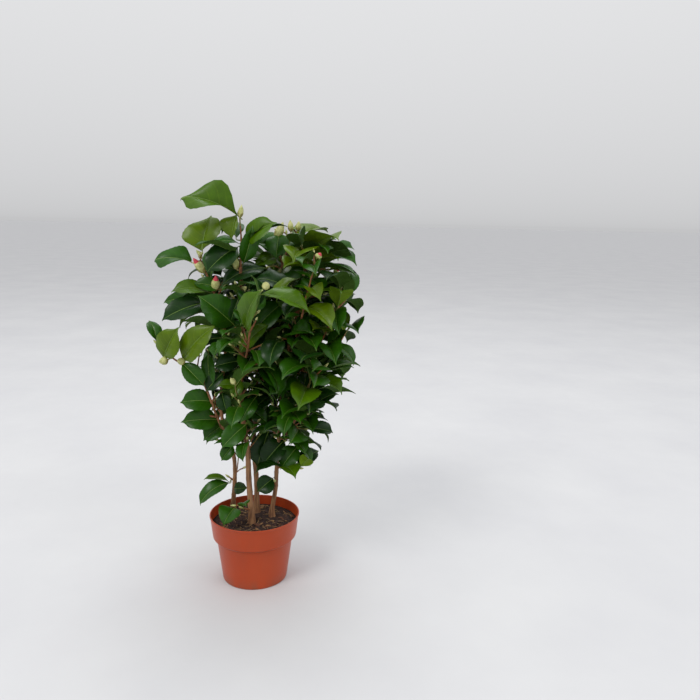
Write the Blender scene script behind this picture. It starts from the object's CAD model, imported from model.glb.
# %% [markdown]
# # A camellia in its pot
# The plain solids of this shrub stand ready: a pot, its soil, four stems, their boughs and
# the masses of leaves, each with the right place and size. Here Blender grows the same plant
# again by the same rule, with curved leaves, bark, scaly buds and loose peat. First the frame
# is loaded, and its box is kept to measure against.

import math

import bpy
import numpy as np
from mathutils import Matrix, Vector, noise


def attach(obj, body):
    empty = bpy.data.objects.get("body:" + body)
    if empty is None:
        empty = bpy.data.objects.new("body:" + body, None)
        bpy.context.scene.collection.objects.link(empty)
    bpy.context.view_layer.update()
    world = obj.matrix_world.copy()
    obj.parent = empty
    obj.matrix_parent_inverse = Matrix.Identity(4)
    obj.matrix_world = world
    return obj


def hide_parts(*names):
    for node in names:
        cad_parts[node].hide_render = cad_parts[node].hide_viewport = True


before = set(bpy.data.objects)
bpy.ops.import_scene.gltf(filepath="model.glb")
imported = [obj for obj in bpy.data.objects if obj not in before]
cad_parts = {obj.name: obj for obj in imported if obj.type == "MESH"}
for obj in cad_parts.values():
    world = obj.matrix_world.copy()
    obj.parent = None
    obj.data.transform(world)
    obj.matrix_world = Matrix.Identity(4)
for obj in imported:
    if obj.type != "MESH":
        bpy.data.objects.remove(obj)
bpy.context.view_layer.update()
MM = 0.001

# %% [markdown]
# ## The camera
# A view is matched when the lens, the height, the tilt and the roll of the camera are those
# of the photograph, worked out from it once. A camera that is aimed with an empty would be
# easier to move, but it wouldn't keep the slight roll.

# %% Set the camera
SENSOR = 36.0
PHOTO_WIDTH = 700
FOCAL_PIXELS = 677.67
CAMERA_PLACE = Vector((178.3, -1229.6, 680.6)) * MM
CAMERA_TILT = math.radians(90 - 10.58)
CAMERA_ROLL = math.radians(1.065)

lens = bpy.data.cameras.new("camera")
lens.sensor_width = SENSOR
lens.lens = SENSOR * FOCAL_PIXELS / PHOTO_WIDTH
camera = bpy.data.objects.new("camera", lens)
camera.matrix_world = (
    Matrix.Translation(CAMERA_PLACE)
    @ Matrix.Rotation(CAMERA_TILT, 4, "X")
    @ Matrix.Rotation(CAMERA_ROLL, 4, "Z")
)
bpy.context.scene.collection.objects.link(camera)
bpy.context.scene.camera = camera
print("the lens is", round(lens.lens, 2), "mm")

# %% [markdown]
# ## Soft light
# Plants are photographed for sale in flat, even light. Three wide lamps and a pale sky give
# soft shadows and one broad sheen on each waxy leaf. A sun lamp would be quicker to set, and
# would cut hard shadows that the picture doesn't have.

# %% Place the lamps
PLANT_MIDDLE = Vector((0, 0, 400)) * MM


def area_lamp(name, place, size, power, tint):
    """A round lamp, in metres and watts, that looks at the middle of the plant."""
    lamp = bpy.data.lights.new(name, "AREA")
    lamp.shape = "DISK"
    lamp.size = size
    lamp.energy = power
    lamp.color = tint
    holder = bpy.data.objects.new(name, lamp)
    holder.location = place
    holder.rotation_euler = (PLANT_MIDDLE - holder.location).to_track_quat("-Z", "Y").to_euler()
    bpy.context.scene.collection.objects.link(holder)


area_lamp("key_lamp", Vector((-2.2, -3.0, 3.9)), 2.0, 95, (1.0, 0.99, 0.97))
area_lamp("fill_lamp", Vector((3.4, -2.0, 3.0)), 2.2, 26, (0.96, 0.98, 1.0))
area_lamp("top_lamp", Vector((0.2, 1.5, 4.6)), 2.4, 60, (0.97, 0.99, 1.0))

# %% [markdown]
# The sky is darkest where it meets the floor, as pale as the floor is there, and brightens
# upward. So the floor ends without a line, and most light comes from above.

# %% Nodes that count
def feed(tree, socket, value):
    """Links a socket to another node's output, or sets the socket's own value."""
    if hasattr(value, "node"):
        tree.links.new(value, socket)
    elif value is not None:
        socket.default_value = value


def math_node(tree, operation, first, second=None, third=None, clamped=False):
    node = tree.nodes.new("ShaderNodeMath")
    node.operation, node.use_clamp = operation, clamped
    for socket, value in zip(node.inputs, (first, second, third)):
        feed(tree, socket, value)
    return node.outputs[0]


def range_node(tree, value, start, end, low=0.0, high=1.0):
    """The value's way from start to end, laid out from low to high."""
    node = tree.nodes.new("ShaderNodeMapRange")
    labels = "Value", "From Min", "From Max", "To Min", "To Max"
    for label, given in zip(labels, (value, start, end, low, high)):
        feed(tree, node.inputs[label], given)
    return node.outputs[0]


def place_parts(tree, kind, output):
    """The x, y and z of a place, as that kind of node gives them."""
    place = tree.nodes.new(kind)
    split = tree.nodes.new("ShaderNodeSeparateXYZ")
    tree.links.new(place.outputs[output], split.inputs[0])
    return split.outputs


# %% Shade the sky
HORIZON_LIGHT, ZENITH_LIGHT, SKY_RISE = 0.56, 0.97, 0.5
sky = bpy.data.worlds.new("pale_sky")
sky.use_nodes = True
tree, background = sky.node_tree, sky.node_tree.nodes["Background"]
background.inputs["Color"].default_value = (0.98, 0.985, 1.0, 1)
height = math_node(tree, "ADD", place_parts(tree, "ShaderNodeTexCoord", "Generated")[2], 0.0, clamped=True)
rise = math_node(tree, "POWER", height, SKY_RISE)
feed(tree, background.inputs["Strength"], range_node(tree, rise, 0.0, 1.0, HORIZON_LIGHT, ZENITH_LIGHT))
bpy.context.scene.world = sky
bpy.context.scene.view_settings.view_transform = "Standard"
print("three lamps and a pale sky")

# %% [markdown]
# ## Building meshes by hand
# Every piece below is made of rings of points, joined by four-sided faces. A small basket
# collects the points and faces of many like shapes, so that all leaves of one stem, or all
# chips of bark, become one object. Copies with modifiers would be slower to export.

# %% A basket for shapes
class Basket:
    """Collects points, faces and the number of each face's material, or one number for all."""

    def __init__(self):
        self.points, self.faces, self.paints, self.places = [], [], [], []
        self.sharp = []
        self.count = 0

    def add(self, points, faces, paints=0, places=None, sharp=()):
        self.points.append(np.asarray(points, float))
        self.faces += [tuple(i + self.count for i in face) for face in faces]
        self.paints += [paints] * len(faces) if isinstance(paints, int) else paints
        self.places.append(np.zeros((len(points), 2)) if places is None else places)
        self.sharp += [i + self.count for i in sharp]
        self.count += len(points)

    def to_object(self, name, materials):
        points = np.vstack(self.points) * MM
        mesh = bpy.data.meshes.new(name)
        mesh.from_pydata(points.tolist(), [], self.faces)
        mesh.polygons.foreach_set("material_index", self.paints)
        mesh.shade_smooth()
        corners = np.zeros(len(mesh.loops), int)
        mesh.loops.foreach_get("vertex_index", corners)
        mesh.uv_layers.new(name="place").data.foreach_set("uv", np.vstack(self.places)[corners].ravel())
        if self.sharp:
            ends = np.zeros(len(mesh.edges) * 2, int)
            mesh.edges.foreach_get("vertices", ends)
            on_margin = np.isin(ends, self.sharp).reshape(-1, 2).all(axis=1)
            mesh.attributes.new("sharp_edge", "BOOLEAN", "EDGE").data.foreach_set("value", on_margin)
        for material in materials:
            mesh.materials.append(material)
        piece = bpy.data.objects.new(name, mesh)
        bpy.context.scene.collection.objects.link(piece)
        triangles = sum(len(face) - 2 for face in self.faces)
        print(name, "has", triangles, "triangles")
        return piece


def ring_faces(rings, count):
    """Faces between rings of `count` points each."""
    return [
        (ring + i, ring + (i + 1) % count, ring + count + (i + 1) % count, ring + count + i)
        for ring in range(0, (rings - 1) * count, count)
        for i in range(count)
    ]


def open_faces(rings, count):
    """The faces of a tube that is closed at its far end only."""
    return ring_faces(rings, count) + [tuple(range((rings - 1) * count, rings * count))]


def round_faces(rings, count):
    """The faces of a tube with both its ends closed."""
    faces = open_faces(rings, count)
    return faces[:-1] + [tuple(reversed(range(count))), faces[-1]]


# %% [markdown]
# ## Effects that several finishes share
# Three effects come back in many finishes: soft mottling between two tints, fine fibres or
# grain that stand up, and the veins of a leaf. Each is a node group with named sockets, built
# once, so that a finish only says how strong or how large it is there.

# %% Colours, groups and noise
def paint(red, green, blue):
    """A colour from a paint chart, 0 to 255, as the linear light that shaders use."""
    return tuple(((value / 255 + 0.055) / 1.055) ** 2.4 for value in (red, green, blue)) + (1.0,)


def new_group(name, inputs, outputs):
    group = bpy.data.node_groups.new(name, "ShaderNodeTree")
    for label, kind, value in inputs:
        socket = group.interface.new_socket(label, in_out="INPUT", socket_type="NodeSocket" + kind)
        socket.default_value = value
    for label, kind in outputs:
        group.interface.new_socket(label, in_out="OUTPUT", socket_type="NodeSocket" + kind)
    return group, group.nodes.new("NodeGroupInput"), group.nodes.new("NodeGroupOutput")


def blend_node(tree, share, first, second):
    """The first colour at a share of 0, the second at 1."""
    node = tree.nodes.new("ShaderNodeMix")
    node.data_type = "RGBA"
    for number, given in ((0, share), (6, first), (7, second)):
        feed(tree, node.inputs[number], given)
    return node.outputs[2]


def stretched_noise(tree, given, detail, roughness=0.5):
    """Noise with the Scale and Stretch that a group is given."""
    place = tree.nodes.new("ShaderNodeTexCoord")
    stretch = tree.nodes.new("ShaderNodeVectorMath")
    stretch.operation = "MULTIPLY"
    clouds = tree.nodes.new("ShaderNodeTexNoise")
    clouds.inputs["Detail"].default_value = detail
    clouds.inputs["Roughness"].default_value = roughness
    tree.links.new(place.outputs["Object"], stretch.inputs[0])
    tree.links.new(given.outputs["Stretch"], stretch.inputs[1])
    tree.links.new(stretch.outputs[0], clouds.inputs["Vector"])
    tree.links.new(given.outputs["Scale"], clouds.inputs["Scale"])
    return clouds.outputs[0]


# %% The mottling group
MOTTLING_CONTRAST = 2.6


def build_mottling():
    """Soft clouds between a dark and a light tint, and how light each place is."""
    tree, given, result = new_group(
        "soft_mottling",
        [("Light", "Color", (1, 1, 1, 1)), ("Dark", "Color", (0, 0, 0, 1)), ("Scale", "Float", 40.0),
         ("Stretch", "Vector", (1, 1, 1)), ("Contrast", "Float", 1.0)],
        [("Color", "Color"), ("Mask", "Float")])
    centred = math_node(tree, "SUBTRACT", stretched_noise(tree, given, detail=4), 0.5)
    scaled = math_node(tree, "MULTIPLY", centred, given.outputs["Contrast"])
    spread = math_node(tree, "MULTIPLY_ADD", scaled, MOTTLING_CONTRAST, 0.5, clamped=True)
    tint = blend_node(tree, spread, given.outputs["Dark"], given.outputs["Light"])
    tree.links.new(tint, result.inputs["Color"])
    tree.links.new(spread, result.inputs["Mask"])
    return tree


MOTTLING = build_mottling()
print("built", MOTTLING.name)


# %% The grain group
GRAIN_LOW, GRAIN_HIGH = 0.3, 0.7


def build_grain():
    """Fine noise, as a height for a bump and as a roughness between two ends."""
    tree, given, result = new_group(
        "surface_grain",
        [("Scale", "Float", 400.0), ("Stretch", "Vector", (1, 1, 1)),
         ("Roughness low", "Float", 0.4), ("Roughness high", "Float", 0.6)],
        [("Height", "Float"), ("Roughness", "Float")])
    grain = stretched_noise(tree, given, detail=6, roughness=0.6)
    ends = given.outputs["Roughness low"], given.outputs["Roughness high"]
    tree.links.new(grain, result.inputs["Height"])
    tree.links.new(range_node(tree, grain, GRAIN_LOW, GRAIN_HIGH, *ends), result.inputs["Roughness"])
    return tree


GRAIN = build_grain()
print("built", GRAIN.name)


# %% The vein group
VEIN_PAIRS, VEIN_SLANT = 7.0, 0.22


def build_veins():
    """Pale side veins that leave the midrib in pairs and curve toward the tip."""
    tree, given, result = new_group(
        "leaf_veins",
        [("Pairs", "Float", VEIN_PAIRS), ("Slant", "Float", VEIN_SLANT), ("Width", "Float", 0.09)],
        [("Mask", "Float"), ("Height", "Float")])
    sideways, lengthwise, _ = place_parts(tree, "ShaderNodeUVMap", 0)
    from_rib = math_node(tree, "ABSOLUTE", math_node(tree, "SUBTRACT", sideways, 0.5))
    reach = math_node(tree, "MULTIPLY", from_rib, 2.0)
    rise = math_node(tree, "MULTIPLY", math_node(tree, "POWER", reach, 1.4), given.outputs["Slant"])
    along = math_node(tree, "SUBTRACT", lengthwise, rise)
    counted = math_node(tree, "MULTIPLY", along, given.outputs["Pairs"])
    within = math_node(tree, "FRACT", counted)
    gap = math_node(tree, "ABSOLUTE", math_node(tree, "SUBTRACT", within, 0.5))
    nearness = math_node(tree, "SUBTRACT", 1.0, math_node(tree, "DIVIDE", gap, given.outputs["Width"]))
    line = math_node(tree, "MAXIMUM", nearness, 0.0)
    fading = math_node(tree, "SUBTRACT", 1.0, reach)
    shown = math_node(tree, "MULTIPLY", line, math_node(tree, "POWER", fading, 0.6), clamped=True)
    tree.links.new(shown, result.inputs["Mask"])
    tree.links.new(math_node(tree, "SUBTRACT", 1.0, shown), result.inputs["Height"])
    return tree


VEINS = build_veins()
print("built", VEINS.name)


# %% A helper that places a group in a finish
def place_group(tree, group, **values):
    node = tree.nodes.new("ShaderNodeGroup")
    node.node_tree = group
    for label, value in values.items():
        node.inputs[label.replace("_", " ")].default_value = value
    return node


def new_finish(name, roughness):
    """A new material, its nodes and its main shader."""
    material = bpy.data.materials.new(name)
    material.use_nodes = True
    shader = material.node_tree.nodes["Principled BSDF"]
    shader.inputs["Roughness"].default_value = roughness
    return material, material.node_tree, shader


def raise_surface(tree, shader, height, depth):
    """Lets a height that changes over the surface stand up by so many metres."""
    bump = tree.nodes.new("ShaderNodeBump")
    bump.inputs["Distance"].default_value = depth
    tree.links.new(height, bump.inputs["Height"])
    tree.links.new(bump.outputs[0], shader.inputs["Normal"])


def give_grain(tree, shader, scale, low, high, stretch=(1, 1, 1)):
    """Grain that varies the roughness between two ends; returns its height."""
    grain = place_group(tree, GRAIN, Scale=scale, Stretch=stretch, Roughness_low=low, Roughness_high=high)
    tree.links.new(grain.outputs["Roughness"], shader.inputs["Roughness"])
    return grain.outputs["Height"]


# %% [markdown]
# ## Waxy leaves
# A camellia leaf is dark and shiny above, as if waxed, and dull and yellowish below. Young
# leaves are a brighter yellow-green on both sides. Each leaf gets one of a few plain tints,
# with faint mottling, a rough pattern of veins and a thin clear coat for the wax.

# %% Finishes of the leaves
LEAF_LIGHT, LEAF_DARK, VEIN_SHARE = 1.17, 0.84, 0.3
LEAF_SPECULAR, WAX_ROUGHNESS = 0.14, 0.25


def shaded(tint, share):
    """The same tint, that many times as light."""
    return tuple(min(1.0, channel * share) for channel in tint[:3]) + (1.0,)


def leaf_finish(name, tint, vein_tint, roughness, coat, vein_depth):
    """A mottled skin with sunk veins, or raised ones if the depth is below 0."""
    material, tree, shader = new_finish(name, roughness)
    light, dark = (shaded(paint(*tint), share) for share in (LEAF_LIGHT, LEAF_DARK))
    mottling = place_group(tree, MOTTLING, Light=light, Dark=dark, Scale=55.0, Contrast=0.9)
    veins = place_group(tree, VEINS)
    strength = math_node(tree, "MULTIPLY", veins.outputs["Mask"], VEIN_SHARE)
    skin = blend_node(tree, strength, mottling.outputs["Color"], paint(*vein_tint))
    tree.links.new(skin, shader.inputs["Base Color"])
    raise_surface(tree, shader, veins.outputs["Height"], vein_depth)
    give_grain(tree, shader, 260.0, roughness * 0.8, roughness * 1.25)
    shader.inputs["Specular IOR Level"].default_value = LEAF_SPECULAR
    shader.inputs["Coat Weight"].default_value = coat
    shader.inputs["Coat Roughness"].default_value = WAX_ROUGHNESS
    return material


LEAF_TINTS = {
    "old": ((19, 50, 8), (48, 82, 18)),
    "grown": ((36, 78, 4), (70, 108, 16)),
    "fresh": ((62, 94, 0), (98, 122, 18)),
    "young": ((76, 101, 0), (116, 134, 20)),
}
UNDER_TINTS = {
    "old": ((62, 92, 30), (92, 120, 52)),
    "young": ((94, 122, 18), (124, 146, 48)),
}
UPPER = [leaf_finish("leaf_upper_" + age, *tints, 0.36, 0.16, 0.00018) for age, tints in LEAF_TINTS.items()]
UNDER = [leaf_finish("leaf_under_" + age, *tints, 0.6, 0.0, -0.0005) for age, tints in UNDER_TINTS.items()]
print("made", len(UPPER), "upper and", len(UNDER), "under finishes")

# %% [markdown]
# ## Midribs and stalks
# The midrib is the pale line that shows on both sides of a leaf, and it goes on as the
# leaf's stalk. It is its own strip of faces, so it needs only a plain pale green.

# %% Finish of midribs and stalks
def plain_finish(name, light, dark, roughness, scale, stretch=(1, 1, 1), depth=0.0002):
    """Soft mottling between two tints, and grain six times as fine."""
    material, tree, shader = new_finish(name, roughness)
    mottling = place_group(
        tree, MOTTLING, Light=paint(*light), Dark=paint(*dark), Scale=scale, Stretch=stretch)
    tree.links.new(mottling.outputs["Color"], shader.inputs["Base Color"])
    height = give_grain(tree, shader, scale * 6, roughness * 0.85, roughness * 1.15, stretch)
    raise_surface(tree, shader, height, depth)
    return material


MIDRIB = plain_finish("leaf_midrib", (108, 136, 52), (80, 110, 34), 0.5, 90.0)
STALK = plain_finish("leaf_stalk", (122, 136, 56), (98, 110, 38), 0.5, 90.0)
print("made", MIDRIB.name, "and", STALK.name)

# %% [markdown]
# ## Bark, twigs and buds
# The stems have thin brown bark with fine upright fibres. It is a light tan near the soil
# and a warmer red-brown toward the top. The twigs are red-brown and smooth. The flower buds
# are wrapped in pale scales, and some show a red tip where the petals push out.

# %% Finishes of wood and buds
UPRIGHT = (1.0, 1.0, 0.12)
LIGHT_BARK_TO, WARM_BARK_FROM = 0.2, 0.48
LOW_BARK = paint(160, 118, 80), paint(100, 66, 42), 1.2
HIGH_BARK = paint(168, 112, 68), paint(110, 68, 40), 1.1


def bark_finish():
    """Tan bark low down that turns red-brown higher up, with upright fibres."""
    material, tree, shader = new_finish("bark", 0.7)
    low, high = (
        place_group(tree, MOTTLING, Light=light, Dark=dark, Scale=260.0, Stretch=UPRIGHT, Contrast=contrast)
        for light, dark, contrast in (LOW_BARK, HIGH_BARK))
    height = place_parts(tree, "ShaderNodeTexCoord", "Object")[2]
    rise = range_node(tree, height, LIGHT_BARK_TO, WARM_BARK_FROM)
    bark = blend_node(tree, rise, low.outputs["Color"], high.outputs["Color"])
    tree.links.new(bark, shader.inputs["Base Color"])
    raise_surface(tree, shader, give_grain(tree, shader, 900.0, 0.55, 0.85, UPRIGHT), 0.0009)
    return material


BARK = bark_finish()
TWIG = plain_finish("young_bark", (156, 100, 56), (104, 62, 36), 0.5, 220.0, UPRIGHT, 0.0004)
SHOOT = plain_finish("green_shoot", (126, 128, 56), (104, 84, 44), 0.48, 160.0)
SCALE = plain_finish("bud_scale", (206, 204, 140), (150, 158, 86), 0.45, 140.0)
SCALE_OUTER = plain_finish("bud_outer_scale", (170, 170, 96), (130, 112, 62), 0.5, 180.0)
PETAL = plain_finish("petal_tip", (206, 70, 84), (176, 34, 52), 0.5, 120.0)
print("made the finishes of wood and buds")

# %% [markdown]
# ## The measures of the plant
# The dressed plant has to stand where its solids stand, so it grows from the same numbers, in
# millimetres. They could be measured from the solids' boxes, but the rule needs more than
# that: the way of each stem, and the few leaves that the photograph shows standing alone.

# %% Pot and crown
POT_HEIGHT, RIM_RADIUS = 129.0, 85.0
COLLAR_DEPTH, COLLAR_FOOT_RADIUS = 42.0, 80.0
SHOULDER_DEPTH, BODY_TOP_RADIUS = 48.0, 72.5
FOOT_RADIUS, WALL, FLOOR = 62.0, 1.5, 2.5
HOLE_COUNT, HOLE_RADIUS, HOLE_CIRCLE = 6, 5.0, 44.0
SOIL_TOP, GAP = 111.7, 0.3
CROWN_AXIS = np.array((5.0, 10.0))
CROWN_HEIGHTS = (120, 200, 300, 400, 600, 700, 775)
CROWN_RADII = (60, 100, 150, 192, 190, 150, 55)
TALLEST_TWIG = 690
ROOT_FLARE, FLARE_HEIGHT, BOUGH_TIP_RADIUS = 2.6, 14.0, 1.7
TWIG_RADIUS, NODE_SPACING, LIFT, SWAY = 2.1, 17.0, 0.12, 0.14
LEAF_LENGTH, LEAF_WIDTH_SHARE, PETIOLE_LENGTH, SOIL_CLEARANCE = 92.0, 0.55, 9.0, 12.0
BUD_LENGTH, BUD_RADIUS, SIDE_TWIG_SHARE, BUD_SHARE = 16.0, 5.6, 0.4, 0.47
TURN_PER_LEAF, GOLDEN_STEP = 144, 0.618
print("the pot is", POT_HEIGHT, "mm high and the crown reaches", CROWN_HEIGHTS[-1], "mm")

# %% Stems and the fork of the left one
STEMS = [
    dict(name="stem_main", base=5.6, tip=2.5, sector=(-170, -40), boughs=3, shoots=4, start=300, end=590,
         route=[(-5, -8), (-9.5, -7.5, 198), (-12, -7, 262), (-21, -5, 333), (-22.5, -4, 425),
                (-21.5, -6, 504), (-21, -8, 564), (-20.5, -9, 600)]),
    dict(name="stem_rear", base=5.2, tip=2.3, sector=(30, 165), boughs=4, shoots=5, start=240, end=550,
         route=[(-1.5, 40), (-1.5, 37, 182), (-5.5, 31, 264), (4, 38, 340), (18, 50, 430),
                (31, 58, 510), (38, 60, 567)]),
    dict(name="stem_right", base=4.4, tip=2.2, sector=(-65, 40), boughs=4, shoots=4, start=250, end=540,
         route=[(31, 22), (38, 20, 170), (41, 18, 222), (46, 14, 290), (53, 8, 370), (64, 3, 450),
                (78, 0, 520), (86, -2, 560)]),
    dict(name="stem_left", base=4.2, tip=3.2, boughs=0, shoots=0,
         route=[(-50, 50), (-46, 50, 193), (-48, 40, 237), (-58, 15, 278), (-60, 0, 313)]),
]
FORK = [
    dict(name="bough_left_upper", on="stem_left", base=3.1, tip=1.9, sector=(110, 170), shoots=2,
         start=340, end=520,
         route=[(-60, 0, 313), (-61, -2, 363), (-52, -4, 438), (-51, -4, 480), (-70, -4, 552),
                (-79, -4, 575)]),
    dict(name="bough_left_arch", on="stem_left", base=2.5, tip=1.8, sector=(150, 230), shoots=1,
         start=370, end=400,
         route=[(-60.5, 10, 288), (-71, -4, 326), (-89, -12, 382), (-108, -16, 410), (-124, -18, 421)]),
]
print(len(STEMS), "stems, one with a fork of", len(FORK), "boughs")

# %% Shoots whose leaves stand out
FRONT_AND_UP, BACK_AND_UP = (0, -0.8, 0.5), (0.15, 0.7, 0.7)
SHOWN_SHOOTS = [
    dict(name="leaves_main_tip", on="stem_main", tip=True, length=88, leaves={
        1: dict(tip=(-92, -58, 640), bow=60),
        2: dict(tip=(62, 8, 676), bow=50),
        5: dict(tip=(-124, -12, 724), bow=62, face=BACK_AND_UP, wide=0.66, fold=30)}),
    dict(name="leaves_left_upper_tip", on="bough_left_upper", tip=True, length=44, leaves={
        1: dict(tip=(-179, -8, 604), bow=66),
        3: dict(tip=(-76, 34, 672), bow=60, face=FRONT_AND_UP, wide=0.72)}),
    dict(name="leaves_left_arch_tip", on="bough_left_arch", tip=True, length=62, level=True, leaves={
        1: dict(tip=(-66, -26, 512), bow=50, face=FRONT_AND_UP, wide=0.5),
        3: dict(tip=(-140, -26, 508), bow=30, face=FRONT_AND_UP, wide=0.5),
        4: dict(tip=(-192, 0, 500), bow=60)}),
    dict(name="leaves_left_low", on="bough_left_arch", height=318, way=190, rise=15, length=30, leaves={
        1: dict(tip=(-142, -18, 305), bow=55),
        2: dict(tip=(-158, 6, 332), bow=70)}),
    dict(name="leaves_left_foot", on="stem_left", height=172, way=190, rise=30, length=26, scale=0.6,
         leaves={1: dict(tip=(-122, 44, 128), bow=95, wide=0.4)}),
    dict(name="leaves_main_foot", on="stem_main", height=136, way=200, rise=35, length=24, scale=0.5,
         leaves={1: dict(tip=(-66, -24, 128), bow=60, wide=0.6)}),
    dict(name="leaves_main_front", on="stem_main", height=318, way=-72, rise=50, length=62, leaves={
        1: dict(tip=(-56, -52, 282), bow=50, face=FRONT_AND_UP, wide=0.6),
        3: dict(tip=(-28, -84, 322), bow=60, face=FRONT_AND_UP)}),
    dict(name="leaves_right_foot", on="stem_right", height=176, way=-100, rise=45, length=26, scale=0.55,
         leaves={1: dict(tip=(2, -24, 178), bow=70, wide=0.6)}),
    dict(name="leaves_right_low", on="stem_right", height=212, way=-40, rise=30, length=36, leaves={
        1: dict(tip=(84, -58, 222), bow=60),
        2: dict(tip=(6, -44, 224), bow=70)}),
]
print(len(SHOWN_SHOOTS), "shoots with", sum(len(shoot["leaves"]) for shoot in SHOWN_SHOOTS), "shown leaves")

# %% [markdown]
# ## Growing the plant again
# A shrub could be scattered with a hair system or a tree add-on, but those grow another
# shrub each time. Here the rule that grew the solids is written once more: stems, side
# boughs, twigs and leaves in the same order with the same dice, so each leaf lands in the
# place of its solid.

# %% Vectors and dice
UP, BACK = np.array((0.0, 0.0, 1.0)), np.array((0.0, 1.0, 0.0))
SEED_STEP, SEED_START, DICE_STEP, DICE_SIDES = 7919, 104729, 16807, 2147483647


def unit(a):
    return a / math.sqrt(a @ a)


def cross(a, b):
    return np.array((a[1] * b[2] - a[2] * b[1], a[2] * b[0] - a[0] * b[2], a[0] * b[1] - a[1] * b[0]))


def across(a, axis):
    return unit(a - axis * (a @ axis))


def some_side(axis):
    return across(BACK if abs(axis[2]) > 0.7 else UP, axis)


def compass(degrees):
    return np.array((math.cos(math.radians(degrees)), math.sin(math.radians(degrees)), 0.0))


def turn(a, axis, angle):
    kept = axis * ((axis @ a) * (1 - math.cos(angle)))
    return a * math.cos(angle) + cross(axis, a) * math.sin(angle) + kept


def dice(seed):
    """Evenly spread numbers between 0 and 1, the same ones for the same seed."""
    state = (seed * SEED_STEP + SEED_START) % DICE_SIDES

    def roll():
        nonlocal state
        state = state * DICE_STEP % DICE_SIDES
        return state / DICE_SIDES

    roll()
    roll()
    return roll


# %% Paths
def smooth_path(corners, spacing):
    """A curve through the corners, with points about that far apart."""
    points = [corners[0]]
    for i in range(len(corners) - 1):
        before, a, b = corners[max(i - 1, 0)], corners[i], corners[i + 1]
        after = corners[min(i + 2, len(corners) - 1)]
        steps = max(1, math.floor(math.dist(a, b) / spacing + 0.5))
        for step in range(1, steps + 1):
            t = step / steps
            points.append(a + 0.5 * t * (b - before + t * (
                2 * before - 5 * a + 4 * b - after + t * (3 * (a - b) + after - before))))
    return points


def headings(points):
    last = len(points) - 1
    return [unit(points[min(i + 1, last)] - points[max(i - 1, 0)]) for i in range(last + 1)]


# %% Limbs
LIMB_STEP, TAPER_POWER = 32, 0.8
BOUGH_MARGIN, BOUGH_REACH_SHARE, SHORTEST_REACH, BOUGH_BASE_SHARE = 60, 0.56, 34, 0.66


def make_limb(plan, step=LIMB_STEP):
    """A stem starts upright on the soil with a flare, and every limb tapers to its tip."""
    rooted = "on" not in plan
    corners = [np.array((*place, SOIL_TOP + GAP)[:3], float) for place in plan["route"]]
    if rooted:
        corners.insert(1, corners[0] + UP * FLARE_HEIGHT)
    points = smooth_path(corners, step)
    radii = []
    for i, point in enumerate(points):
        left = 1 - i / (len(points) - 1)
        flare = ROOT_FLARE * math.exp((SOIL_TOP - point[2]) / FLARE_HEIGHT) if rooted else 0
        radii.append(plan["tip"] + (plan["base"] - plan["tip"]) * left ** TAPER_POWER + flare)
    return dict(plan, points=points, radii=radii)


def limb_at(limb, height):
    """The place and the radius of a limb at a height."""
    points, i = limb["points"], 1
    while i + 1 < len(points) and points[i][2] < height:
        i += 1
    share = (height - points[i - 1][2]) / (points[i][2] - points[i - 1][2])
    radius = limb["radii"][i - 1] + (limb["radii"][i] - limb["radii"][i - 1]) * share
    return points[i - 1] * (1 - share) + points[i] * share, radius


def crown_radius(height):
    return np.interp(height, CROWN_HEIGHTS, CROWN_RADII)


def is_outside(points, overhang):
    """Whether any of the points lies so far past the crown."""
    out = np.hypot(points[..., 0] - CROWN_AXIS[0], points[..., 1] - CROWN_AXIS[1])
    return (out > crown_radius(points[..., 2]) + overhang).any()


def distance_out(point):
    return math.dist(point[:2], CROWN_AXIS)


def outward(point):
    return unit(np.array((point[0] - CROWN_AXIS[0], point[1] - CROWN_AXIS[1], 0.0)))


def sector_way(limb, i, start):
    """The way of side shoot number i, a golden step on in the limb's fan."""
    first, last = limb["sector"]
    return compass(first + (last - first) * ((i * GOLDEN_STEP + start) % 1))


def side_boughs(stem):
    boughs = []
    for i in range(stem["boughs"]):
        height = stem["start"] + (stem["end"] - stem["start"] - BOUGH_MARGIN) * (i + 0.35) / stem["boughs"]
        way = sector_way(stem, i, 0.15)
        root, radius = limb_at(stem, height)
        room = crown_radius(height + BOUGH_MARGIN) - distance_out(root)
        reach = max(SHORTEST_REACH, BOUGH_REACH_SHARE * room)
        elbow = root + way * (reach * 0.55) + UP * (reach * 0.45)
        boughs.append(dict(
            name=stem["name"].replace("stem", "bough") + f"_{i + 1}", on=stem["name"],
            base=radius * BOUGH_BASE_SHARE, tip=BOUGH_TIP_RADIUS,
            route=[root, elbow, root + way * reach + UP * (reach * 1.1)]))
    return boughs


limb_plans = STEMS + FORK + [bough for stem in STEMS for bough in side_boughs(make_limb(stem))]
limbs = [make_limb(plan) for plan in limb_plans]
named_limbs = {limb["name"]: limb for limb in limbs}
print(len(limbs), "stems and boughs")

# %% [markdown]
# ## Who holds which space
# Two leaves may not pass through each other. The space is cut into small cubes, and each
# cube belongs to the first spray of leaves that comes near it. A physics simulation could
# push the leaves apart, but it would move them away from their solids.

# %% Cubes of space
CUBE = 4
NOBODY, LIMBS = -1, 0
GRID_START = np.array((-80, -80, -10))
owners = np.full((160, 160, 240), NOBODY, np.int16)
NEIGHBOURS = np.stack(np.meshgrid(*[(-1, 0, 1)] * 3, indexing="ij"), -1).reshape(-1, 3)


def cubes_of(points):
    cubes = np.floor(np.asarray(points) / CUBE).astype(int) - GRID_START
    return np.clip(cubes, 1, np.array(owners.shape) - 2)


def owners_at(points):
    return owners[tuple(cubes_of(points).T)]


def claim(points, owner):
    """Gives the cubes at and beside these points to their first owner."""
    near = (cubes_of(points)[:, None] + NEIGHBOURS).reshape(-1, 3)
    spots = tuple(near.T)
    held = owners[spots]
    owners[spots] = np.where(held == NOBODY, owner, held)


def is_free(points, owner):
    return bool(np.isin(owners_at(points), (NOBODY, owner)).all())


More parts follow.
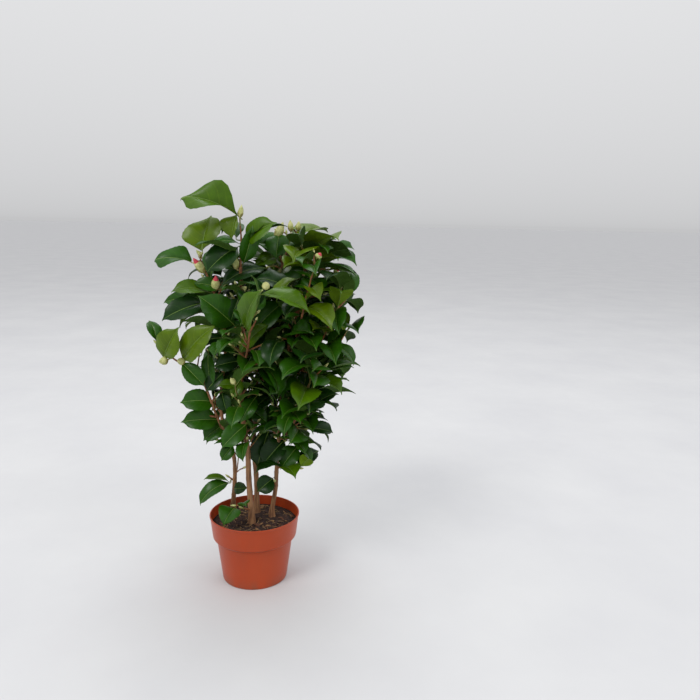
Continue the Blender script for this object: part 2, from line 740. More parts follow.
def wood_probes(points, radius=0):
    """Places to test along a twig, or all round a limb of that radius."""
    probes = []
    for start, end in zip(points, points[1:]):
        way = end - start
        steps = math.ceil(math.sqrt(way @ way) / CUBE)
        side = some_side(unit(way))
        for step in range(steps + 1):
            centre = start + way * (step / steps)
            probes.append(centre)
            if radius:
                probes += [centre + turn(side, unit(way), k * math.pi / 3) * radius for k in range(6)]
    return probes


print("the space has", owners.size, "cubes of", CUBE, "mm")

# %% Where a leaf's blade passes
LEAF_STEPS, ROOT_STEPS, HOOK_START, HOOK_ANGLE, LEAF_OVERHANG = 24, 6, 0.78, 0.5, 12


def half_width(leaf, t):
    """Half the blade's width at a share of its length: an oval, drawn out to a point."""
    return leaf["width"] / 2 * np.sin(np.pi * t ** 0.82) ** 0.85 * (1 - 0.3 * t ** 6)


def bow_angle(leaf, t):
    """How steeply the midrib rises at a share of its length: it droops, then hooks down."""
    hook = np.maximum(0, (t - HOOK_START) / (1 - HOOK_START))
    return leaf["droop"] * (0.5 - t) - leaf.get("hook", HOOK_ANGLE) * hook * hook


def midrib(leaf, t):
    """Points and upward ways of the midrib at shares of its length."""
    angle = bow_angle(leaf, (t + np.concatenate(((0,), t[:-1]))) / 2)[:, None]
    ways = np.cos(angle) * leaf["aim"] + np.sin(angle) * leaf["upper"]
    uppers = np.cos(angle) * leaf["upper"] - np.sin(angle) * leaf["aim"]
    steps = np.diff(t, prepend=0)[:, None] * leaf["length"]
    return leaf["base"] + np.cumsum(ways * steps, axis=0), uppers


def leaf_probes(leaf):
    """Places all over a folded blade, and how many steps along it each is."""
    t = np.arange(1, LEAF_STEPS + 1) / LEAF_STEPS
    points, uppers = midrib(leaf, t)
    points = np.vstack((leaf["base"], points))
    uppers = np.vstack((leaf["upper"], uppers))
    half = half_width(leaf, np.concatenate(((0,), t)))
    rows = np.ceil(half / CUBE).astype(int)
    steps = np.repeat(np.arange(LEAF_STEPS + 1), 2 * rows + 1)
    sides = np.concatenate([(np.arange(2 * row + 1) - row) / max(row, 1) for row in rows])
    sideways = cross(leaf["upper"], leaf["aim"])
    out = (half[steps] * sides * math.cos(leaf["fold"]))[:, None] * sideways
    raised = (half[steps] * np.abs(sides) * math.sin(leaf["fold"]))[:, None] * uppers[steps]
    return points[steps] + out + raised, steps


def leaf_fits(leaf, owner):
    points, steps = leaf_probes(leaf)
    if is_outside(points, LEAF_OVERHANG) or (points[:, 2] <= SOIL_TOP + SOIL_CLEARANCE).any():
        return False
    found = owners_at(points)
    return bool(((found == NOBODY) | ((found == owner) & (steps < ROOT_STEPS))).all())


# %% Leaves at their nodes
GOES = [
    (shrink, tilt, swing)
    for shrink in (1, 0.87, 0.75)
    for tilt in (0, 0.45, -0.45)
    for swing in (0, 24, -24, 48, -48, 72, -72, 100, -100)
]


def bowed_leaf(plan, root, base, tip, wide=LEAF_WIDTH_SHARE, face=UP, fold=20):
    """A leaf whose bowed midrib runs from its base to the place of its tip."""
    half_bow = math.radians(plan["bow"]) / 2
    length = math.dist(tip, base) * half_bow / math.sin(half_bow)
    aim = unit(tip - base)
    return dict(
        root=root, base=base, aim=aim, upper=across(np.array(plan.get("face", face), float), aim),
        length=length, width=length * plan.get("wide", wide), droop=2 * half_bow,
        fold=math.radians(plan.get("fold", fold)), seen=True)


def rule_leaf(mass, node, heading, angle, roll, goes=GOES, fits=leaf_fits):
    """The first leaf that fits at a node, turned and shrunk in steps until one does."""
    lean, twist, long, broad, bow = roll(), roll(), roll(), roll(), roll()
    for shrink, tilt, swing in goes:
        radial = turn(some_side(heading), heading, angle + math.radians(swing))
        x, y, z = radial + heading * 0.35 + outward(node) * 0.35
        aim = unit(np.array((x, y, z * 0.6 - 0.15 + 0.5 * (lean - 0.5) + tilt)))
        length = LEAF_LENGTH * mass.get("scale", 1) * shrink * (0.84 + 0.3 * long)
        leaf = dict(
            root=node, base=node + unit(aim + heading * 0.5) * PETIOLE_LENGTH, aim=aim,
            upper=turn(across(UP + heading * 0.6, aim), aim, math.radians(50) * (twist - 0.5)),
            length=length, width=length * LEAF_WIDTH_SHARE * (0.92 + 0.16 * broad),
            droop=math.radians(35 + 60 * bow), fold=math.radians(12 + 22 * twist))
        if fits(leaf, mass["owner"]):
            return leaf
    return None


# %% Sprays of leaves
TIP_LENGTHS, SHOOT_LENGTHS = (60, 105), (52, 90)
STEM_SWINGS, PROBES_IN_LIMB = (0, 25, -25, 50, -50, 75, -75), 5
ROOT_SHARE, SIDE_TWIG_LENGTH, EDGE_ROOM = 0.7, 40, 20


def tip_start(limb):
    """Where and how a twig starts that carries a limb on."""
    heading = unit(limb["points"][-1] - limb["points"][-2])
    return dict(point=limb["points"][-1] + heading * GAP, heading=heading, radius=limb["radii"][-1])


def plan_sprays():
    """The starts of all sprays: shown shoots, then each limb's tip and side shoots."""
    plans = []
    for shoot in SHOWN_SHOOTS:
        limb = named_limbs[shoot["on"]]
        if shoot.get("tip"):
            plans.append(dict(shoot, **tip_start(limb), lift=0 if shoot.get("level") else LIFT))
        else:
            heading = unit(compass(shoot["way"]) + UP * math.tan(math.radians(shoot["rise"])))
            plans.append(dict(shoot, point=limb_at(limb, shoot["height"])[0], heading=heading,
                              radius=TWIG_RADIUS, lift=0))
    for limb in limbs:
        name = limb["name"].replace("stem", "leaves").replace("bough", "leaves")
        if limb["name"] != "stem_left" and not any(p.get("tip") and p["on"] == limb["name"] for p in plans):
            start = tip_start(limb)
            length = min(TIP_LENGTHS[1], max(TIP_LENGTHS[0], TALLEST_TWIG - start["point"][2]))
            plans.append(dict(start, name=name + "_tip", on=limb["name"], tip=True, length=length, lift=LIFT))
        for i in range(limb.get("shoots", 0)):
            height = limb["start"] + (limb["end"] - limb["start"]) * (i + 0.6) / limb["shoots"]
            point = limb_at(limb, height)[0]
            room = crown_radius(height) - distance_out(point)
            plans.append(dict(
                name=f"{name}_{i + 1}", on=limb["name"], point=point,
                heading=unit(sector_way(limb, i, 0.62) + UP * 0.75), radius=TWIG_RADIUS,
                length=min(SHOOT_LENGTHS[1], max(SHOOT_LENGTHS[0], room / 2)), lift=LIFT))
    return plans


def grow_twig(start, heading, length, lift, roll):
    """A twig bends a little toward the light and sways from node to node."""
    steps = max(2, math.floor(length / NODE_SPACING + 0.5))
    points, way = [start], heading
    for _ in range(steps):
        sway = turn(some_side(way), way, roll() * 2 * math.pi)
        way = unit(way + UP * lift + sway * SWAY)
        points.append(points[-1] + way * (length / steps))
    return points


def grow_spray(plan, owner):
    """The first twig of a spray, swung aside where another spray's is in its way."""
    tries = []
    for swing in (0,) if plan.get("tip") else STEM_SWINGS:
        roll = dice(owner)
        heading = turn(plan["heading"], UP, math.radians(swing))
        points = grow_twig(plan["point"], heading, plan["length"], plan["lift"], roll)
        tries.append(dict(points=points, radius=plan["radius"], turn=roll() * 2 * math.pi))
    clear = (go for go in tries if is_free(wood_probes(go["points"])[PROBES_IN_LIMB:], owner))
    stem = next(clear, tries[0])
    claim(wood_probes(stem["points"]), owner)
    return dict(plan, owner=owner, shown=plan.get("leaves", {}), twigs=[stem], leaves=[], buds=[])


def add_leaf(spray, leaf):
    claim(leaf_probes(leaf)[0], spray["owner"])
    spray["leaves"].append(leaf)


def leaf_root(points, i):
    return points[i - 1] * (1 - ROOT_SHARE) + points[i] * ROOT_SHARE


def add_shown_leaves(spray):
    points = spray["twigs"][0]["points"]
    ways = headings(points)
    for node, plan in spray["shown"].items():
        tip, root = np.array(plan["tip"], float), leaf_root(points, node)
        base = root + unit(unit(tip - root) + ways[node] * 0.5) * PETIOLE_LENGTH
        add_leaf(spray, bowed_leaf(plan, root, base, tip) | dict(at=(0, node)))


# %% Side twigs
def add_side_twigs(spray):
    roll = dice(spray["owner"] + 1000)
    stem = spray["twigs"][0]
    ways = headings(stem["points"])
    for i in range(1, len(stem["points"]) - 1):
        start = stem["points"][i]
        wanted = roll() < SIDE_TWIG_SHARE
        angle = stem["turn"] + math.radians(i * TURN_PER_LEAF) + 0.3
        radial = turn(some_side(ways[i]), ways[i], angle)
        heading = unit(ways[i] * 0.8 + radial + outward(start) * 0.4)
        points = grow_twig(start, heading, SIDE_TWIG_LENGTH * (1 + 0.5 * roll()), LIFT, roll)
        inside = distance_out(points[-1]) < crown_radius(points[-1][2]) - EDGE_ROOM
        if wanted and inside and is_free(wood_probes(points), spray["owner"]):
            claim(wood_probes(points), spray["owner"])
            twig_turn = roll() * 2 * math.pi
            spray["twigs"].append(dict(points=points, radius=TWIG_RADIUS * 0.9, turn=twig_turn, start=i))


# %% Flower buds at the ends of twigs
def add_buds(spray):
    roll = dice(spray["owner"] + 2000)
    for number, twig in enumerate(spray["twigs"]):
        before, last = twig["points"][-2:]
        way = unit(last - before)
        wanted = roll() < BUD_SHARE
        radial = turn(some_side(way), way, roll() * 2 * math.pi)
        bud = dict(
            root=before * 0.1 + last * 0.9, aim=unit(way + radial * 0.75 + UP * 0.3),
            length=BUD_LENGTH * (0.75 + 0.4 * roll()), radius=BUD_RADIUS * (0.8 + 0.3 * roll()), on=number)
        probes = [bud["root"] + bud["aim"] * (bud["length"] * share) for share in (0.2, 0.5, 0.8, 1)]
        if wanted and is_free(probes, spray["owner"]):
            claim(probes, spray["owner"])
            spray["buds"].append(bud)


# %% The other leaves
bare_nodes = []


def add_rule_leaves(spray):
    for number, twig in enumerate(spray["twigs"]):
        ways = headings(twig["points"])
        for i in range(1, len(twig["points"])):
            if number == 0 and i in spray["shown"]:
                continue
            roll = dice(spray["owner"] * 50 + number * 10 + i)
            angle = twig["turn"] + math.radians(i * TURN_PER_LEAF)
            leaf = rule_leaf(spray, leaf_root(twig["points"], i), ways[i], angle, roll)
            if leaf:
                add_leaf(spray, leaf | dict(at=(number, i)))
            else:
                bare_nodes.append((spray, twig, i))


# %% Grow the sprays
def leaf_count():
    return sum(len(spray["leaves"]) for spray in sprays)


for limb in limbs:
    claim(wood_probes(limb["points"], limb["base"]), LIMBS)
sprays = []
for plan in plan_sprays():
    sprays.append(grow_spray(plan, len(sprays) + 1))
    add_shown_leaves(sprays[-1])
for grow in (add_side_twigs, add_buds, add_rule_leaves):
    for spray in sprays:
        grow(spray)
print(len(sprays), "sprays with", leaf_count(), "leaves,",
      sum(len(s["twigs"]) for s in sprays), "twigs and", sum(len(s["buds"]) for s in sprays), "buds;",
      len(bare_nodes), "nodes had no room")

# %% [markdown]
# ## The pot
# It is a plain nursery pot of thin terracotta-coloured plastic, spun in one piece: a tapered
# body, a shoulder, a collar and a thin lip. A lathe of one outline suits it. The outline is
# fine enough to keep each small rounding, and the drain holes are cut with a boolean.

# %% Finish of the pot
SOILED_UP_TO, SOIL_FILM, SCUFF_FILM = 0.022, 0.5, 0.07


def pot_finish():
    """Plastic with faint scuffs everywhere and a film of soil near its foot."""
    material, tree, shader = new_finish("terracotta_plastic", 0.42)
    light, dark = paint(180, 68, 25), paint(154, 54, 18)
    mottling = place_group(tree, MOTTLING, Light=light, Dark=dark, Scale=9.0, Contrast=0.6)
    dust = place_group(tree, MOTTLING, Scale=60.0, Stretch=(1, 1, 0.35), Contrast=1.3)
    height = place_parts(tree, "ShaderNodeTexCoord", "Object")[2]
    low = range_node(tree, height, SOILED_UP_TO, 0.0)
    soiled = math_node(tree, "MULTIPLY", low, dust.outputs["Mask"])
    scuffs = math_node(tree, "MULTIPLY", dust.outputs["Mask"], SCUFF_FILM)
    film = math_node(tree, "MULTIPLY_ADD", soiled, SOIL_FILM, scuffs)
    plastic = blend_node(tree, film, mottling.outputs["Color"], paint(118, 78, 56))
    tree.links.new(plastic, shader.inputs["Base Color"])
    raise_surface(tree, shader, give_grain(tree, shader, 900.0, 0.28, 0.44), 0.00012)
    shader.inputs["Specular IOR Level"].default_value = 0.35
    return material


POT = pot_finish()
print("made", POT.name)

# %% Outline of the pot
SHOULDER, COLLAR_FOOT = POT_HEIGHT - SHOULDER_DEPTH, POT_HEIGHT - COLLAR_DEPTH
POT_SIDES = 128
INNER_HEIGHTS = (FLOOR, SHOULDER + 1, COLLAR_FOOT + 1, POT_HEIGHT)
INNER_RADII = (FOOT_RADIUS, BODY_TOP_RADIUS, COLLAR_FOOT_RADIUS, RIM_RADIUS)


def pot_inside(height):
    return np.interp(height, INNER_HEIGHTS, INNER_RADII) - WALL


def rounded(corners, radii, steps=5):
    """An outline whose corners are rounded, each by its own radius."""
    outline = [np.array(corners[0], float)]
    for before, corner, after, radius in zip(corners, corners[1:], corners[2:], radii):
        before, corner, after = (np.array(p, float) for p in (before, corner, after))
        start = corner + unit(before - corner) * min(radius, math.dist(before, corner) / 2)
        end = corner + unit(after - corner) * min(radius, math.dist(after, corner) / 2)
        for step in range(steps + 1):
            t = step / steps
            outline.append(start * (1 - t) ** 2 + corner * (2 * t * (1 - t)) + end * t ** 2)
    outline.append(np.array(corners[-1], float))
    return outline


LIP_HEIGHT, LIP_OUT = 3.2, 0.7
pot_outline = rounded(
    [
        (0.1, 0), (FOOT_RADIUS - 10, 0), (FOOT_RADIUS - 9, 1.4), (FOOT_RADIUS - 5, 1.4), (FOOT_RADIUS - 4, 0),
        (FOOT_RADIUS - 0.6, 0), (FOOT_RADIUS + 0.2, 4.0),
        (BODY_TOP_RADIUS, SHOULDER), (COLLAR_FOOT_RADIUS - 0.5, COLLAR_FOOT - 1.2),
        (COLLAR_FOOT_RADIUS + 0.1, COLLAR_FOOT + 1.4),
        (RIM_RADIUS - 0.5, POT_HEIGHT - LIP_HEIGHT), (RIM_RADIUS + LIP_OUT, POT_HEIGHT - LIP_HEIGHT + 0.8),
        (RIM_RADIUS + LIP_OUT, POT_HEIGHT), (pot_inside(POT_HEIGHT), POT_HEIGHT),
        (pot_inside(COLLAR_FOOT + 1), COLLAR_FOOT + 1), (pot_inside(SHOULDER + 1), SHOULDER + 1),
        (pot_inside(FLOOR), FLOOR), (0.1, FLOOR),
    ],
    [0.4, 0.4, 0.4, 0.4, 2.4, 3.0, 1.2, 0.9, 0.9, 0.5, 0.5, 0.8, 0.6, 1.0, 1.0, 2.0],
)
print("the pot's outline has", len(pot_outline), "points")


# %% Turn the pot and drill it
def turned(outline, sides):
    """A closed round body about the upright axis, and its faces."""
    ways = [compass(360 * i / sides) for i in range(sides)]
    points = [way * radius + UP * height for radius, height in outline for way in ways]
    return points, round_faces(len(outline), sides)


basket = Basket()
points, faces = turned(pot_outline, POT_SIDES)
basket.add(points, faces)
pot = basket.to_object("nursery_pot", [POT])

basket = Basket()
for i in range(HOLE_COUNT):
    points, faces = turned([(HOLE_RADIUS, -2), (HOLE_RADIUS, FLOOR + 2)], 24)
    basket.add(np.array(points) + compass(360 * i / HOLE_COUNT) * HOLE_CIRCLE, faces)
drill = basket.to_object("drill", [POT])
cut = pot.modifiers.new("holes", "BOOLEAN")
cut.operation, cut.object, cut.solver = "DIFFERENCE", drill, "MANIFOLD"
drilled = bpy.data.meshes.new_from_object(pot.evaluated_get(bpy.context.evaluated_depsgraph_get()))
pot.modifiers.clear()
pot.data = drilled
bpy.data.objects.remove(drill)
drilled.shade_smooth()
drilled.set_sharp_from_angle(angle=math.radians(38))
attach(pot, "root")
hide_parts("pot")
print("the drilled pot has", len(drilled.polygons), "faces")

# %% [markdown]
# ## The soil
# The peat is dark, crumbly and uneven, with chips of bark and pale fibres lying in it. Its
# surface is a fine round grid that noise lifts into crumbs. Particles would be the usual way
# to strew the chips, but real little meshes stay with the part when it is exported.

# %% Finishes of the soil
PEAT = plain_finish("peat", (66, 38, 27), (26, 14, 10), 0.92, 220.0, depth=0.0012)
CHIPS = [
    plain_finish("bark_chip_dark", (70, 42, 30), (36, 21, 15), 0.85, 320.0, (1, 1, 0.3), 0.0006),
    plain_finish("bark_chip_brown", (108, 66, 42), (66, 38, 25), 0.85, 320.0, (0.3, 1, 1), 0.0006),
    plain_finish("bark_chip_tan", (166, 124, 80), (112, 78, 48), 0.85, 320.0, (1, 0.3, 1), 0.0006),
    plain_finish("peat_fibre", (178, 144, 98), (128, 94, 60), 0.8, 400.0),
]
print("made", PEAT.name, "and", len(CHIPS), "kinds of chip and fibre")


# %% The crumbly surface
def crumbs(x, y):
    """How far the peat stands above its middle height, in millimetres."""
    broad = noise.noise(Vector((x / 34, y / 34, 3.1))) * 2.2
    lumps = noise.fractal(Vector((x / 7, y / 7, 8.4)), 0.8, 2.1, 4) * 1.7
    ridges = abs(noise.noise(Vector((x / 3.1, y / 3.1, 1.7)))) * 1.3
    return broad + lumps + ridges - 0.5


SOIL_SIDES, SOIL_RINGS, SOIL_MIDDLE, RIM_ZONE = 176, 58, 0.2, 5
soil_edge = pot_inside(SOIL_TOP) - GAP
soil_points = []
for ring in range(SOIL_RINGS + 1):
    radius = max(SOIL_MIDDLE, soil_edge * (1 - ring / SOIL_RINGS))
    for i in range(SOIL_SIDES):
        x, y, _ = compass(360 * i / SOIL_SIDES) * radius
        rim = min(1.0, (soil_edge - radius) / RIM_ZONE)
        soil_points.append((x, y, SOIL_TOP + crumbs(x, y) * (0.3 + 0.7 * rim) - 1.0 * (1 - rim)))
below = [(pot_inside(height) - GAP, height + GAP) for height in reversed(INNER_HEIGHTS[:3])]
below.append((SOIL_MIDDLE, FLOOR + GAP))
basket = Basket()
basket.add(turned(list(reversed(below)), SOIL_SIDES)[0], ring_faces(len(below), SOIL_SIDES))
top_start = basket.count
basket.add(soil_points, ring_faces(SOIL_RINGS + 1, SOIL_SIDES))
wall_start = (len(below) - 1) * SOIL_SIDES
for i in range(SOIL_SIDES):
    j = (i + 1) % SOIL_SIDES
    basket.faces.append((wall_start + i, wall_start + j, top_start + j, top_start + i))
    basket.paints.append(0)
soil = basket.to_object("peat_soil", [PEAT])
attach(soil, "root")
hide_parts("soil")

# %% [markdown]
# Chips and fibres lie on the crumbs, most of them small and dark. Each chip is a ring of six
# points moved along and squeezed at both ends, and each fibre is a thin bent thread.

# %% One chip and one thread
CHIP_SIDES = 6
CHIP_SHARES = (-1.0, -0.72, -0.2, 0.35, 0.8, 1.0)


def chip(basket, place, size, roll, tone):
    """A small worn splinter of bark: a flat, uneven body with ragged ends."""
    across_way = compass(360 * roll())
    tilt = unit(UP + compass(360 * roll()) * (0.9 * roll() ** 2))
    across_way = across(across_way, tilt)
    along_way = cross(tilt, across_way)
    length, width, thick = size, size * (0.32 + 0.5 * roll()), 0.9 + size * 0.16 * roll()
    rings = []
    for share in CHIP_SHARES:
        narrow = (0.35 if abs(share) > 0.95 else 1.0) * (0.75 + 0.4 * roll())
        for k in range(CHIP_SIDES):
            angle = math.radians(60 * k + 24 * (roll() - 0.5))
            out = across_way * (math.cos(angle) * width / 2 * narrow * (0.8 + 0.35 * roll()))
            rings.append(place + along_way * (share * length / 2 + (roll() - 0.5) * 1.2)
                         + out + tilt * (math.sin(angle) * thick / 2 * narrow))
    basket.add(rings, round_faces(len(CHIP_SHARES), CHIP_SIDES), tone)


def tube(points, sides, radius_at):
    """Rings of points round a path, with a radius for each place and angle."""
    ways = headings(points)
    side, rings = some_side(ways[0]), []
    for i, (point, way) in enumerate(zip(points, ways)):
        side = across(side, way)
        for k in range(sides):
            angle = 2 * math.pi * k / sides
            rings.append(point + turn(side, way, angle) * radius_at(i, angle))
    return rings


def thread(basket, points, radii, sides, paint_number):
    """A thin round thread along a few points."""
    rings = tube(points, sides, lambda i, angle: radii[i])
    basket.add(rings, round_faces(len(points), sides), paint_number)


# %% Strew them
CHIP_COUNT, FIBRE_COUNT, FOOT_ROOM = 260, 95, 10
FIBRE_SHARES, FIBRE_RADII, FIBRE_SIDES = (-0.5, -0.2, 0.1, 0.35, 0.5), (0.2, 0.45, 0.5, 0.4, 0.15), 5
roll = dice(31)
basket = Basket()
stem_feet = [np.array(plan["route"][0][:2], float) for plan in STEMS]
for number in range(CHIP_COUNT):
    place = compass(360 * roll()) * ((soil_edge - 7) * math.sqrt(roll()))
    size = 3 + 11 * roll() ** 2.4
    tone = min(2, int(3 * roll() ** 3))
    if all(math.dist(place[:2], foot) > FOOT_ROOM for foot in stem_feet):
        place[2] = SOIL_TOP + crumbs(place[0], place[1]) + 0.3
        chip(basket, place, size, roll, tone)
for number in range(FIBRE_COUNT):
    place = compass(360 * roll()) * ((soil_edge - 10) * math.sqrt(roll()))
    way, reach = compass(360 * roll()), 7 + 16 * roll() ** 2
    bend, rise = compass(360 * roll()) * 2.5, 0.8 + 2.0 * roll() ** 3
    points = []
    for share in FIBRE_SHARES:
        point = place + way * (reach * share) + bend * (4 * share * share)
        point[2] = SOIL_TOP + crumbs(point[0], point[1]) + rise * (1 - 4 * share * share) + 0.4
        points.append(point)
    if all(math.hypot(*end[:2]) < soil_edge - 3 for end in (points[0], points[-1])):
        thread(basket, points, FIBRE_RADII, FIBRE_SIDES, len(CHIPS) - 1)
chips = basket.to_object("bark_chips", CHIPS)
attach(chips, "root")

# %% [markdown]
# ## One leaf
# A camellia leaf is folded along its midrib like a gull's wings, bows over, and ends in a thin
# tip that hooks down. Its blade bulges a little between the side veins, its margin waves and
# has fine teeth, and the midrib is sunk above and stands out below. A flat plane with a leaf
# picture would be lighter, but it would look flat from most sides. Here the upper and lower
# skins are two grids that meet in a sharp margin.

# %% The blade
ROWS_ALONG = 26
LEAF_SHARES = np.concatenate(
    ((0.012, 0.04), np.linspace(0.075, 0.93, ROWS_ALONG - 6), (0.955, 0.975, 0.99, 1.0)))
SIDE_SHARES = np.array((0, 0.27, 0.56, 0.82, 1.0))
RIB_HALF_WIDTH, BLADE_THICKNESS = 0.85, 0.5
BROADER, NARROWEST = 1.1, 0.22
VEIN_BULGE, BULGE_ON_HALF_WIDTH = 0.2, 24


def ease(t):
    t = np.clip(t, 0, 1)
    return t * t * (3 - 2 * t)


def drawn_half_width(leaf, t, half=0):
    """A broad oval with a wedge-shaped base and a drawn-out tip; its halves differ."""
    widest, slimness, share = leaf["halves"][half]
    oval = np.abs(np.sin(np.pi * t ** (math.log(0.5) / math.log(widest)))) ** slimness
    wedge = 0.45 + 0.55 * ease(t / 0.22)
    tip = 1 - 0.7 * ease((t - 0.76) / 0.18)
    return np.maximum(leaf["width"] / 2 * BROADER * share * oval * wedge * tip, NARROWEST)


def blade_points(leaf, t, s):
    """The upper skin at shares t along the blade (n) and s across it (n by m)."""
    spine, uppers = midrib(leaf, t)
    sideways = cross(leaf["upper"], leaf["aim"])
    roll_over = (leaf["twist"] * (t - 0.3))[:, None]
    side_ways = sideways * np.cos(roll_over) + uppers * np.sin(roll_over)
    uppers = uppers * np.cos(roll_over) - sideways * np.sin(roll_over)
    left, right = (drawn_half_width(leaf, t, half)[:, None] for half in (0, 1))
    half = np.where(s < 0, left, right)
    turning = np.where(s < 0, 0, leaf["turning"] * (0.5 - t[:, None]))
    fold, bend, reach = leaf["fold"] + turning + leaf["bend"] * 0.35, leaf["bend"], np.abs(s)
    out = half * (np.sin(fold) - np.sin(fold - bend * reach)) / bend
    raised = half * (np.cos(fold - bend * reach) - np.cos(fold)) / bend
    wave_angle = 2 * np.pi * leaf["waves"] * t[:, None] + np.where(s > 0, 0, leaf["wave_shift"])
    raised = raised + leaf["wave_depth"] * np.sin(wave_angle) * reach ** 3 * np.sin(np.pi * t[:, None]) ** 0.5
    lobes = np.abs(np.sin(np.pi * VEIN_PAIRS * (t[:, None] - VEIN_SLANT * reach ** 1.4)))
    bulge = VEIN_BULGE * (lobes - 0.6) * np.minimum(1, 5 * reach) * (1 - reach ** 4)
    raised = raised + bulge * (half / BULGE_ON_HALF_WIDTH)
    return (spine[:, None] + side_ways[:, None] * (out * np.sign(s))[..., None]
            + uppers[:, None] * raised[..., None]), uppers


def finish_leaf(leaf, roll):
    """Gives a leaf of the rule the small bends that no two leaves share."""
    leaf["twist"] = 0.5 * (roll() - 0.5)
    leaf["bend"] = 0.3 + 0.55 * roll()
    leaf["waves"], leaf["wave_shift"] = 1.6 + 1.6 * roll(), 2.4 + 1.5 * roll()
    leaf["wave_depth"] = (0.5 + 1.5 * roll()) * leaf["width"] / 50
    leaf["seed"] = roll()
    leaf["halves"] = [(0.42 + 0.1 * roll(), 0.62 + 0.3 * roll(), 1) for _ in range(2)]
    leaf["turning"] = 0.5 * (roll() - 0.5)


for spray in sprays:
    roll = dice(spray["owner"] + 4000)
    for leaf in spray["leaves"]:
        finish_leaf(leaf, roll)
print("each blade has", len(LEAF_SHARES), "rows of", 2 * len(SIDE_SHARES) + 1, "points on its upper skin")

# %% [markdown]
# ## Leaves that the picture shows one by one
# The rule gives a camellia, but not quite this one. On its left and front single leaves can
# be told apart, so each of them is set by the places of its base and its tip, in
# millimetres, and a short spur joins it to the nearest wood. A sculpted copy of the crown
# would be another way, but then the leaves couldn't be changed one by one.
#
# Each has its base and tip, its bow in degrees and its width as a share of its length, and
# where they can be told the way that its upper side faces, its fold and its age. `halves`
# shapes the outline of its two sides, and `instead` names the spray and node whose leaf it
# takes the place of.

# %% Seen leaves
def leaf_between(base, tip, bow, wide, **more):
    """What the picture tells of one leaf."""
    return dict(base=base, tip=tip, bow=bow, wide=wide, **more)


